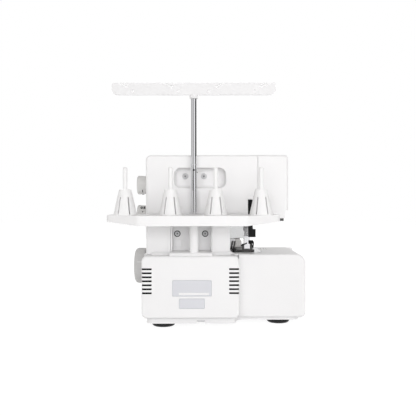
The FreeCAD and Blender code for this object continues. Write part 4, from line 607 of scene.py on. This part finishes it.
def turned(name, start, toward, profile, sides=40, hollow=False):
    """Round piece on an axis; profile lists distance from its start and radius in millimetres."""
    deselect()
    rise, radius = profile[0]
    bpy.ops.mesh.primitive_circle_add(
        vertices=sides, radius=radius * MM, location=(0, 0, rise * MM),
        fill_type="NOTHING" if hollow else "NGON")
    piece = named(name)
    loop = list(profile) + [profile[0]] * hollow
    with shaping(piece, "EDGE" if hollow else "FACE"):
        for (low, wide), (high, wider) in zip(loop, loop[1:]):
            extrude(0, 0, high - low)
            bpy.ops.transform.resize(value=(wider / wide, wider / wide, 1),
                                     center_override=(0, 0, high * MM))
        clean()
    aim = Vector(UP).rotation_difference(Vector(toward)).to_matrix().to_4x4()
    return settled(piece, moved(*start) @ aim)


def figure(name, words, height, turn, rim=None, depth=0.05):
    """Raised figures, flat or round a rim, set in place by a turn; rim and depth in millimetres."""
    deselect()
    bpy.ops.object.text_add()
    text = bpy.context.object.data
    text.body = words
    text.align_x = text.align_y = "CENTER"
    text.size = height * FONT_SIZE
    text.extrude = depth * MM
    text.space_character = FONT_SPACING
    text.offset = height * FONT_WEIGHT
    bpy.ops.object.convert(target="MESH")
    piece = named(name)
    with shaping(piece):
        clean()
    for point in piece.data.vertices if rim else ():
        across, upward, proud = point.co
        reach, angle = rim * MM + proud, upward / (rim * MM)
        point.co = across, reach * sin(angle), reach * cos(angle)
    return settled(piece, turn)


def rim_figures(words, height, x, axis, angle, step, side, **settings):
    """Figures upright round a level knob, step by step; side is 0 in front and 180 at the back."""
    upright = spun(side, "Z") @ spun(90, "X")
    return [figure("number", word, height, moved(x, *axis) @ spun(angle + step * n, "X") @ upright,
                   **settings) for n, word in enumerate(words)]


def fitted(piece, slot, body="machine", look=None, stands_for=()):
    """Finishes a piece: smooth faces, the material of its look or slot, and the body that it moves
    with.
    """
    only(piece)
    bpy.ops.object.shade_smooth_by_angle(angle=SMOOTH_BELOW)
    piece.data.materials.clear()
    piece.data.materials.append(finish(look or slot))
    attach(piece, body)
    if stands_for:
        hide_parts(*stands_for)


class Fitting:
    """What every operator of the machine shares."""

    bl_options = {"REGISTER", "UNDO"}


class OVERLOCK_OT_finishes(Fitting, bpy.types.Operator):
    """Gives every solid of the machine its finish"""

    bl_idname = "overlock.finishes"
    bl_label = "Finishes"

    def execute(self, context):
        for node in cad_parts.values():
            for place in node.material_slots:
                place.material = finish(place.material.name.split(".")[0])
        for name, look in OWN_LOOKS.items():
            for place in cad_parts[name].material_slots:
                place.material = finish(look)
        return {"FINISHED"}


def cross_screw(name, radius, rise):
    """Pan-head screw that looks along +Y from the origin, with a cross recess."""
    slot = sizes().screw_slot / MM / 2
    arm = radius * 0.52
    head = turned(name, (0, 0, 0), TO_BACK,
                  ((-3, 2.0), (0, 2.0), (0, radius), (rise * 0.42, radius),
                   (rise * 0.7, radius * 0.92), (rise * 0.88, radius * 0.75),
                   (rise * 0.98, radius * 0.5), (rise, radius * 0.23)))
    for wide, high in ((arm, slot), (slot, arm)):
        bar = block("recess_bar", (-wide, rise * 0.45, -high), (wide, rise + 0.6, high), 0.2)
        carved(head, bar)
    return head


class OVERLOCK_OT_cover_screws(Fitting, bpy.types.Operator):
    """Models the cover screws with their cross recesses, dark bars in the recesses as painted shade
    and, round the lower pair, dark rings as painted shade of their wells
    """

    bl_idname = "overlock.cover_screws"
    bl_label = "Cover screws"

    def execute(self, context):
        heads, shades = [], []
        for pair, radius, rise, thick, spots in (
                ("hand", 5.2, 2.6, 0.3, HAND_SCREWS), ("recess", 4.2, 1.6, 0.45, RECESS_SCREWS)):
            head = cross_screw(pair + "_screw", radius, rise)
            # Dark bars down in each cross recess: painted shade.
            bars = [block("shade_bar", (-wide, rise * 0.4, -high), (wide, rise * 0.62, high), 0.1)
                    for wide, high in ((1.5, thick), (thick, 1.5))]
            shade = joined("shade", bars)
            for n, (x, z, angle) in enumerate(spots):
                place = moved(x, RECESS_BACK, z) @ spun(angle, "Y")
                heads.append(copied(head, f"{pair}_head_{n}", place))
                shades.append(copied(shade, f"{pair}_shade_{n}", place))
            dropped(head, shade)
        fitted(joined("screw_recesses", shades), "pulley_black", look="mark_ink")
        fitted(joined("cover_screw_heads", heads), "screw_steel", stands_for=("cover_screws",))
        # Dark rings round the lower screws: painted shade of the wells that they sit in.
        ring = ((0, 4.25), (0.3, 4.25), (0.5, 4.5), (0.5, 5.3), (0.3, 5.5), (0, 5.5))
        well_shades = [turned(f"well_{n}", (x, RECESS_BACK, z), TO_BACK, ring, hollow=True)
                 for n, (x, z, _) in enumerate(RECESS_SCREWS)]
        fitted(joined("screw_wells", well_shades), "pulley_black")
        side = settled(cross_screw("face_screw", 4.2, 1.8), moved(-133, -22, 232) @ spun(90, "Z"))
        fitted(side, "screw_steel")
        return {"FINISHED"}


class OVERLOCK_OT_pole_socket(Fitting, bpy.types.Operator):
    """Models the rounded socket that holds the lower pole"""

    bl_idname = "overlock.pole_socket"
    bl_label = "Pole socket"

    def execute(self, context):
        low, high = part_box("pole_socket")
        socket = block("round_socket", low / MM, high / MM)
        rounded(socket, sizes().socket_round / MM, 7, along(*UP))
        centre = (low + high) / 2 / MM
        carved(socket, turned("socket_bore", (centre.x, centre.y, 128), UP,
                              ((0, 5.32), (40, 5.32), (80, 5.4)), 48))
        fitted(socket, "casing_white", stands_for=("pole_socket",))
        return {"FINISHED"}


class OVERLOCK_OT_bare_plates(Fitting, bpy.types.Operator):
    """Models the two bare grey plates on the back of the base"""

    bl_idname = "overlock.bare_plates"
    bl_label = "Bare plates"

    def execute(self, context):
        rise = BASE_BACK + sizes().plate_thickness / MM
        for name, left, low, right, high in (
                ("upper_plate", -2.6, 54, 61.9, 80.4), ("lower_plate", 8.7, 33.5, 51, 50)):
            plate = sunk_plate(name, (left, BASE_BACK, low), (right, rise, high),
                               1.6, 0.5, 0.1, TO_BACK)
            fitted(plate, "casing_white", look="plate_grey")
        field = sunk_plate("plate_field", (1.4, BASE_BACK - 0.1, 55.6), (51.5, rise, 59.8),
                           0.8, 0.35, 0.08, TO_BACK)
        fitted(field, "casing_white")
        return {"FINISHED"}


class OVERLOCK_OT_vent_blades(Fitting, bpy.types.Operator):
    """Models dark blocks inside the louvres of the rear base cover: painted shade that makes the
    openings look black
    """

    bl_idname = "overlock.vent_blades"
    bl_label = "Vent blades"

    def execute(self, context):
        for name, low, high, corner in (("right_vent_blades", 96.15, 112.45, 112.45),
                                        ("left_vent_blades", -47.95, -31.65, -47.95)):
            # Each block is painted shade inside one row of louvre openings.
            shade_block = block(name, (low, 41.15, 97.1), (high, 57.45, 99.9))
            rounded(shade_block, 3.6, 6, within(lambda end: abs(end.x - corner) < 0.1 and end.y > 57))
            repeated(shade_block, LOUVRES, 0, 0, -LOUVRE_PITCH)
            fitted(shade_block, "pulley_black", look="vent_shade")
        return {"FINISHED"}


class OVERLOCK_OT_presser_spring(Fitting, bpy.types.Operator):
    """Winds the spring that presses the foot down"""

    bl_idname = "overlock.presser_spring"
    bl_label = "Presser spring"

    def execute(self, context):
        low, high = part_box("presser_spring")
        wire = sizes().spring_wire
        turns = sizes().spring_turns
        centre = (low + high) / 2
        mean = (high.x - low.x - wire) / 2
        deselect()
        bpy.ops.mesh.primitive_circle_add(
            vertices=12, radius=wire / 2 * 0.96, fill_type="NOTHING",
            location=(mean, 0, low.z + wire / 2), rotation=(pi / 2, 0, 0))
        spring = named("presser_coil")
        modify(spring, "SCREW", axis="Z", angle=2 * pi * turns, steps=28 * turns,
               render_steps=28 * turns, screw_offset=high.z - low.z - wire,
               use_merge_vertices=True)
        with shaping(spring, "VERT"):
            bpy.ops.mesh.select_all(action="DESELECT")
            bpy.ops.mesh.select_non_manifold()
            bpy.ops.mesh.fill_holes(sides=0)
            clean()
        settled(spring, Matrix.Translation((centre.x, centre.y, 0)))
        fitted(spring, "tool_steel", stands_for=("presser_spring",))
        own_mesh(spring)
        return {"FINISHED"}


class OVERLOCK_OT_knob_figures(Fitting, bpy.types.Operator):
    """Marks the two side knobs with plain numbers"""

    bl_idname = "overlock.knob_figures"
    bl_label = "Knob figures"

    def execute(self, context):
        height = sizes().figure_height
        relief = {"rim": KNOB_RIM, "depth": 0.25}
        length = rim_figures("12345", height, 119.9, LENGTH_KNOB_AXIS, -42, -48, 180, **relief)
        knob = "stitch_length_knob"
        fitted(joined("length_figures", length), "switch_black", knob, look="mark_ink")
        words = ("05", "10", "15", "20")
        feed = rim_figures(words, height, 119.2, FEED_KNOB_AXIS, 46, -72, 180, **relief)
        for n in range(4):
            angle = radians(18 - 72 * n)
            feed.append(turned(f"dot_{n}", (119.3, *FEED_KNOB_AXIS), (0, cos(angle), sin(angle)),
                               ((16.0, 1.0), (17.02, 1.0), (17.08, 0.7)), 16))
        fitted(joined("feed_figures", feed), "switch_black", "differential_knob", look="mark_ink")
        return {"FINISHED"}


class OVERLOCK_OT_dial_figures(Fitting, bpy.types.Operator):
    """Marks the four tension dials with the numbers 1 to 9"""

    bl_idname = "overlock.dial_figures"
    bl_label = "Dial figures"

    def execute(self, context):
        height = sizes().figure_height * 0.9
        start = DIAL_PLACES[0]
        numbers = rim_figures("123456789", height, start, DIAL_AXIS, -102, 34, 0, rim=DIAL_RIM)
        first = joined("dial_figures_1", numbers)
        others = [copied(first, f"dial_figures_{n}", moved(x - start, 0, 0))
                  for n, x in enumerate(DIAL_PLACES[1:], 2)]
        for n, piece in enumerate([first] + others, 1):
            fitted(piece, "switch_black", f"tension_dial_{n}", look="mark_ink")
        return {"FINISHED"}


class OVERLOCK_OT_dial_frames(Fitting, bpy.types.Operator):
    """Models the frames round the tension dials, dark strips beside them as painted shade of thread
    slots, the pointers and the dots
    """

    bl_idname = "overlock.dial_frames"
    bl_label = "Dial frames"

    def execute(self, context):
        frames, slots, y = [], [], ARM_FRONT
        for n, x in enumerate(DIAL_PLACES):
            ring = block(f"dial_frame_{n}", (x - 8.2, y - 0.9, 222), (x + 8.2, y + 0.2, 268), 0.35)
            window = block("window", (x - 5.9, y - 2, 224.6), (x + 5.9, y + 2, 265.4))
            frames.append(carved(ring, window))
            # Dark strip that stands for a thread slot: painted shade. The list slots holds these
            # strips and the printed pointers.
            slot = block(f"thread_slot_{n}", (x - 11.4, y - 0.12, 186), (x - 10.4, y + 0.6, 276))
            slots.append(rounded(slot, 0.08, 2, within(lambda end: end.y < y)))
            slots.append(turned(f"pointer_{n}", (x - 7.05, y - 0.6, 245), TO_FRONT,
                                ((0, 0.8), (0.34, 0.8), (0.4, 0.6)), 3))
        for n, colour in enumerate(("blue", "red", "green", "yellow")):
            dot = turned(f"thread_dot_{n + 1}", (DIAL_PLACES[n], y, 214), TO_FRONT,
                         ((-0.4, 2.6), (0.3, 2.6), (0.55, 2.3), (0.6, 1.6)), 32)
            fitted(dot, "casing_white", look="dot_" + colour)
        fitted(joined("dial_frames", frames), "casing_white")
        fitted(joined("thread_slots", slots), "switch_black", look="mark_ink")
        return {"FINISHED"}


class OVERLOCK_OT_thread_guides(Fitting, bpy.types.Operator):
    """Models the plate with four wire loops that leads the threads over the arm"""

    bl_idname = "overlock.thread_guides"
    bl_label = "Thread guides"

    def execute(self, context):
        reach, leg, wire = 2.6, 2.4, 0.6
        pieces = [block("guide_plate", (-48, -61, 287.9), (58, -52, 289.1), 0.4)]
        for n, x in enumerate(DIAL_PLACES):
            deselect()
            bpy.ops.mesh.primitive_circle_add(vertices=12, radius=wire * MM, fill_type="NOTHING",
                                              location=(reach * MM, 0, 0))
            loop = named(f"guide_loop_{n}")
            with shaping(loop, "EDGE"):
                extrude(0, 0, leg)
                bpy.ops.mesh.spin(steps=14, angle=pi, center=(0, 0, leg * MM), axis=TO_FRONT)
                extrude(0, 0, -leg)
                clean()
            pieces.append(settled(loop, moved(x, -56.5, 289)))
        fitted(joined("thread_guides", pieces), "polished_steel")
        return {"FINISHED"}


class OVERLOCK_OT_switch_marks(Fitting, bpy.types.Operator):
    """Marks the power rocker with I and O and the handwheel with a line"""

    bl_idname = "overlock.switch_marks"
    bl_label = "Switch and wheel marks"

    def execute(self, context):
        to_right = Matrix(((0, 0, 1, 115 * MM), (1, 0, 0, -67 * MM), (0, 1, 0, 0), (0, 0, 0, 1)))
        marks = [figure(f"rocker_{word}", word, 4.2 * MM, moved(0, 0, z) @ to_right)
                 for word, z in (("I", 74.8), ("O", 65.2))]
        fitted(joined("rocker_marks", marks), "pin_white", "power_rocker", look="switch_ink")
        y, z = WHEEL_AXIS
        line = block("wheel_line", (117, y + 31.25, z - 0.45), (126.5, y + 31.62, z + 0.45), 0.15)
        settled(line, moved(0, y, z) @ spun(17, "X") @ moved(0, -y, -z))
        fitted(line, "casing_white", "main_drive")
        return {"FINISHED"}


class OVERLOCK_OT_bed_marks(Fitting, bpy.types.Operator):
    """Models the seam lines on the bed and the flush screws of the needle plate"""

    bl_idname = "overlock.bed_marks"
    bl_label = "Bed marks"

    def execute(self, context):
        lines = []
        for n, x in enumerate((-96, -101, -106)):
            line = block(f"seam_line_{n}", (x - 0.3, -88, BED_TOP - 0.3),
                         (x + 0.3, -66, BED_TOP + 0.05))
            lines.append(rounded(line, 0.1, 2, within(lambda end: end.z > BED_TOP)))
        fitted(joined("seam_lines", lines), "wheel_grey", "side_cover", look="mark_ink")
        pattern = turned("plate_screw", (0, 0, 0), UP,
                         ((-2, 1.6), (-0.6, 1.6), (-0.1, 3.0), (0.12, 3.0), (0.3, 2.6)), 32)
        carved(pattern, block("slot", (-3.4, -0.35, 0), (3.4, 0.35, 0.9)))
        spots = ((-87, -103, 25), (-53, -103, 70), (-87, -12, -30))
        screws = [copied(pattern, f"plate_screw_{n}", moved(x, y, BED_TOP) @ spun(angle, "Z"))
                  for n, (x, y, angle) in enumerate(spots)]
        dropped(pattern)
        fitted(joined("plate_screws", screws), "screw_steel")
        return {"FINISHED"}


class OVERLOCK_OT_throat_fittings(Fitting, bpy.types.Operator):
    """Models the knife carrier, the foot's release, the bar's collar, the shield and the rim"""

    bl_idname = "overlock.throat_fittings"
    bl_label = "Throat fittings"

    def execute(self, context):
        arms = []
        for n, x in enumerate((-43.5, -39.3)):
            arm = block(f"carrier_arm_{n}", (x - 1.3, -53, 120.5), (x + 1.3, -49.5, 136.5))
            arms.append(rounded(slanted(arm, facing(*UP), -3.4, 0, 0), 0.5))
        foot = block("carrier_foot", (-46.6, -53, 120.5), (-37.6, -49.4, 123.2), 0.5)
        fitted(joined("knife_carrier", arms + [foot]), "tool_steel")
        web = sunk_plate("carrier_web", (-43, -52.4, 122), (-39.6, -50.8, 135),
                         0.5, 0.4, 0.3, TO_BACK)
        slanted(web, centred(lambda middle: middle.z > 134.9), -2.6, 0, 0)
        centre = (-42.4, -51, 128)
        bolt = turned("carrier_bolt", centre, TO_BACK,
                      ((-1, 1.0), (0, 1.0), (0, 1.5), (1.3, 1.5), (1.6, 1.2)), 24)
        carved(bolt, turned("socket", centre, TO_BACK, ((0.7, 0.8), (2, 0.8), (2.2, 0.8)), 6))
        fitted(joined("carrier_face", [bolt, web]), "polished_steel")

        lever = block("release_lever", (-76.5, -12, 134.5), (-68.5, -10.4, 141), 0.5)
        with shaping(lever):
            pick(lever, facing(-1, 0, 0))
            extrude(-1.4, 1.6, -3)
        pin_head = turned("pin_head", (-74.9, -17, 130), (-1, 0, 0),
                          ((0, 2.4), (0.6, 2.4), (0.6, 3.2), (2.4, 3.2), (2.8, 2.8)), 28)
        heel_bar = block("heel_bar", (-66, -12, 134.6), (-54.6, -10.6, 136.8), 0.4)
        slanted(heel_bar, centred(lambda middle: middle.x > -56), 0, 0, -4.4)
        collar = turned("bar_collar", (-66, -22.5, 163), UP,
                        ((0, 3.1), (0, 5.2), (0.4, 5.6), (3.2, 5.6), (3.6, 5.2), (3.6, 3.1)),
                        hollow=True)
        release = joined("foot_release", [lever, pin_head, heel_bar])
        fitted(release, "lifter_black", "presser_carrier")
        fitted(collar, "ground_steel", "presser_carrier")

        shield = block("knife_shield", (-60.5, -81.6, 120.3), (-36.2, -80.8, 139.4))
        rounded(shield, 7, 8, within(lambda end: end.x < -60 and end.z > 139))
        fitted(shield, "guard_grey", look="shield_clear")
        rim = block("guard_edge", (-57, -80.12, 139.3), (-36.1, -77.98, 140.7), 0.3)
        slanted(rim, centred(lambda middle: middle.x > -40), 0, 0, -2.0)
        fitted(rim, "wheel_grey", look="guard_rim")
        return {"FINISHED"}


class OVERLOCK_OT_bed_infill(Fitting, bpy.types.Operator):
    """Models the infill of the bed behind the needle plate and its hollow round up to the column"""

    bl_idname = "overlock.bed_infill"
    bl_label = "Bed infill"

    def execute(self, context):
        top = block("bed_infill", (-49.1, -5.6, 110), (-35.7, 19.6, BED_TOP - 0.1), 0.5)
        wall = block("seam_backing", (-49.1, 12, 18), (-44.5, 19.6, 112), 0.5)
        hollow = block("column_round", (-43.6, -5.4, BED_TOP - 0.5), (-34.75, 19.4, 129))
        carved(hollow, turned("round_cutter", (-43.6, -8, 129), TO_BACK,
                              ((0, 9.05), (15, 9.05), (30, 9.05)), 96))
        fitted(joined("bed_infill", [top, wall, hollow]), "casing_white")
        return {"FINISHED"}


class OVERLOCK_OT_pole_fittings(Fitting, bpy.types.Operator):
    """Models the rolled lip, the catch button and the stop of the telescopic pole"""

    bl_idname = "overlock.pole_fittings"
    bl_label = "Pole fittings"

    def execute(self, context):
        lip = turned("pole_lip", (*POLE_AXIS, 0), UP,
                     ((270.2, 5.32), (270.5, 5.5), (271.7, 5.5), (272.2, 5.3), (272.2, 4.9),
                      (272.02, 4.9), (272.02, 5.32)), hollow=True)
        fitted(lip, "pole_chrome")
        button = turned("catch_button", (*POLE_AXIS, 262), TO_BACK,
                        ((4.9, 1.7), (5.35, 1.7), (5.6, 1.4), (5.7, 0.7)), 24)
        stop = turned("pole_stop", (*POLE_AXIS, 257), (-1, 0, 0.25),
                      ((4.9, 1.2), (5.6, 1.2), (6.0, 0.9), (6.15, 0.5)), 20)
        fitted(joined("pole_catch", [button, stop]), "lifter_black")
        return {"FINISHED"}


class OVERLOCK_OT_feed_teeth(Fitting, bpy.types.Operator):
    """Models the saw teeth on the two rails of the feed dog"""

    bl_idname = "overlock.feed_teeth"
    bl_label = "Feed dog teeth"

    def execute(self, context):
        pitch = sizes().tooth_pitch / MM
        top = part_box("feed_dog")[1].z / MM
        start, length = -69.6, 45
        rows = []
        for n, x in enumerate((-76, -56)):
            tooth = block(f"tooth_{n}", (x - 1.9, start, top - 0.3),
                          (x + 1.9, start + pitch * 0.98, top + 0.45))
            with shaping(tooth, "EDGE"):
                pick(tooth, within(lambda end: end.z > top and end.y < start + 0.6), "edges")
                shift(0, 0, -0.5)
            rows.append(repeated(tooth, int(length / pitch), 0, pitch, 0))
        fitted(joined("feed_teeth", rows), "tool_steel", "feed_dog")
        return {"FINISHED"}


class OVERLOCK_OT_clamp_screws(Fitting, bpy.types.Operator):
    """Models the two set screws of the needle clamp"""

    bl_idname = "overlock.clamp_screws"
    bl_label = "Needle clamp screws"

    def execute(self, context):
        screw = turned("clamp_screw_1", (-68, -52.5, 161.5), TO_FRONT,
                       ((0, 1.5), (0.3, 1.5), (0.5, 1.8), (1.6, 1.8), (1.9, 1.5)), 24)
        carved(screw, block("slot", (-69.6, -55.4, 161.2), (-66.4, -53.7, 161.8)))
        second = copied(screw, "clamp_screw_2", moved(4, 0, 0))
        fitted(joined("clamp_screws", [screw, second]), "screw_steel", "needle_carrier")
        return {"FINISHED"}


class OVERLOCK_OT_recess_frame(Fitting, bpy.types.Operator):
    """Models the ribs, ledge and raised square of the column recess and the column's foot"""

    bl_idname = "overlock.recess_frame"
    bl_label = "Recess ribs"

    def execute(self, context):
        inner, low, top = RECESS_BACK - 0.1, 124.1, 172.8
        ribs = [sunk_plate("recess_square", (47.5, inner, 131), (62.5, 10.6, 145),
                           0.6, 0.9, 0.5, TO_BACK),
                block("left_rib", (63.6, inner, low), (66.9, 29.4, top), 0.8),
                block("right_rib", (-3.9, inner, low), (-1.4, 29.4, top), 0.8),
                block("ledge", (-1.6, inner, low), (63.8, 33.6, 125.3), 0.4)]
        for name, left, right, back, top, fall, steps in (
                ("plinth", -3.8, 66.8, 53, 125.3, 4.0, 6),
                ("left_foot", 66.9, 98, 38, 124.6, 4.2, 1),
                ("right_foot", -34.6, -3.9, 38, 124.6, 4.2, 1)):
            step = block(name, (left, 33.1, BED_TOP + 0.05), (right, back, top))
            outer = within(lambda end: end.y > back - 1 and end.z > top - 1)
            ribs.append(rounded(step, fall, steps, outer))
        fitted(joined("recess_ribs", ribs), "casing_white")
        return {"FINISHED"}


class OVERLOCK_OT_stage(Fitting, bpy.types.Operator):
    """Sets the pale floor, the soft lamps, the cards and the camera"""

    bl_idname = "overlock.stage"
    bl_label = "Stage"

    def execute(self, context):
        deselect()
        bpy.ops.mesh.primitive_plane_add(size=8, location=(0, 0, -0.02 * MM))
        floor = named("floor")
        material, tree, shader = blank_finish("pale_floor")
        seen, specks = seen_rays(tree), noise(tree, place_on(tree), 3.0, 2.0)
        pale = tinted(tree, 0.02, grey(FLOOR_UNSEEN), specks, "MULTIPLY")
        tree.links.new(tinted(tree, seen, pale, grey(FLOOR_SEEN)), shader.inputs["Base Color"])
        shader.inputs["Roughness"].default_value = 0.9
        shader.inputs["Specular IOR Level"].default_value = 0.0
        shine = {"Color": WHITE, "Strength": sums(tree, "MULTIPLY", seen, FLOOR_GLOW)}
        glow = knot(tree, "ShaderNodeEmission", shine)
        blend = knot(tree, "ShaderNodeAddShader", {0: shader.outputs[0], 1: glow.outputs[0]})
        tree.links.new(blend.outputs[0], tree.nodes["Material Output"].inputs["Surface"])
        floor.data.materials.append(material)

        world = bpy.data.worlds.new("studio")
        world.use_nodes = True
        context.scene.world = world
        tree = world.node_tree
        seen = seen_rays(tree)
        back = tree.nodes["Background"]
        tree.links.new(tinted(tree, seen, WORLD_WARM, WHITE), back.inputs["Color"])
        tree.links.new(ranged(tree, seen, 0.0, 1.0, WORLD_FILL), back.inputs["Strength"])

        for name, place, width, height, power in LAMPS:
            deselect()
            bpy.ops.object.light_add(type="AREA", location=place)
            lamp = called(name + "_lamp")
            lamp.data.shape = "RECTANGLE"
            lamp.data.size, lamp.data.size_y = width, height
            lamp.data.energy = power
            lamp.data.color = LAMP_COLOUR
            lamp.visible_glossy = False
            aim = (LAMP_TARGET - Vector(place)).to_track_quat("-Z", "Y")
            lamp.rotation_euler = aim.to_euler()

        for name, low, high, level in CARDS:
            card = block(name, low, high, 2)
            material, tree, _ = blank_finish(name)
            glow = knot(tree, "ShaderNodeEmission", {"Color": WHITE, "Strength": level})
            tree.links.new(glow.outputs[0], tree.nodes["Material Output"].inputs["Surface"])
            card.data.materials.append(material)
            card.visible_camera = card.visible_diffuse = card.visible_shadow = False
            card.visible_transmission = False

        deselect()
        bpy.ops.object.camera_add(location=CAMERA_PLACE, rotation=CAMERA_TURN)
        camera = called("camera")
        camera.data.lens = CAMERA_LENS
        context.scene.camera = camera
        context.scene.view_settings.view_transform = "Standard"
        return {"FINISHED"}


OPERATORS = (
    OVERLOCK_OT_finishes, OVERLOCK_OT_cover_screws, OVERLOCK_OT_pole_socket,
    OVERLOCK_OT_bare_plates, OVERLOCK_OT_vent_blades, OVERLOCK_OT_presser_spring,
    OVERLOCK_OT_knob_figures, OVERLOCK_OT_dial_figures, OVERLOCK_OT_dial_frames,
    OVERLOCK_OT_thread_guides, OVERLOCK_OT_switch_marks, OVERLOCK_OT_bed_marks,
    OVERLOCK_OT_throat_fittings, OVERLOCK_OT_bed_infill, OVERLOCK_OT_pole_fittings,
    OVERLOCK_OT_feed_teeth, OVERLOCK_OT_clamp_screws, OVERLOCK_OT_recess_frame,
    OVERLOCK_OT_stage,
)


class OVERLOCK_PT_panel(bpy.types.Panel):
    """Lists the machine's operators, colours and sizes."""

    bl_idname = "OVERLOCK_PT_panel"
    bl_label = "Overlock machine"
    bl_space_type = "VIEW_3D"
    bl_region_type = "UI"
    bl_category = "Overlock"

    def draw(self, context):
        for group in (context.scene.overlock_colours, context.scene.overlock_sizes):
            for name in type(group).__annotations__:
                self.layout.prop(group, name)
        for operator in OPERATORS:
            self.layout.operator(operator.bl_idname)


CLASSES = (FinishColours, FittingSizes) + OPERATORS + (OVERLOCK_PT_panel,)


def register():
    for item in CLASSES:
        bpy.utils.register_class(item)
    bpy.types.Scene.overlock_colours = bpy.props.PointerProperty(type=FinishColours)
    bpy.types.Scene.overlock_sizes = bpy.props.PointerProperty(type=FittingSizes)


def unregister():
    del bpy.types.Scene.overlock_colours
    del bpy.types.Scene.overlock_sizes
    for item in reversed(CLASSES):
        bpy.utils.unregister_class(item)


def main():
    """Registers the classes and makes every piece in order."""
    register()
    for operator in OPERATORS:
        group, name = operator.bl_idname.split(".")
        getattr(getattr(bpy.ops, group), name)()


if __name__ == "__main__":
    main()
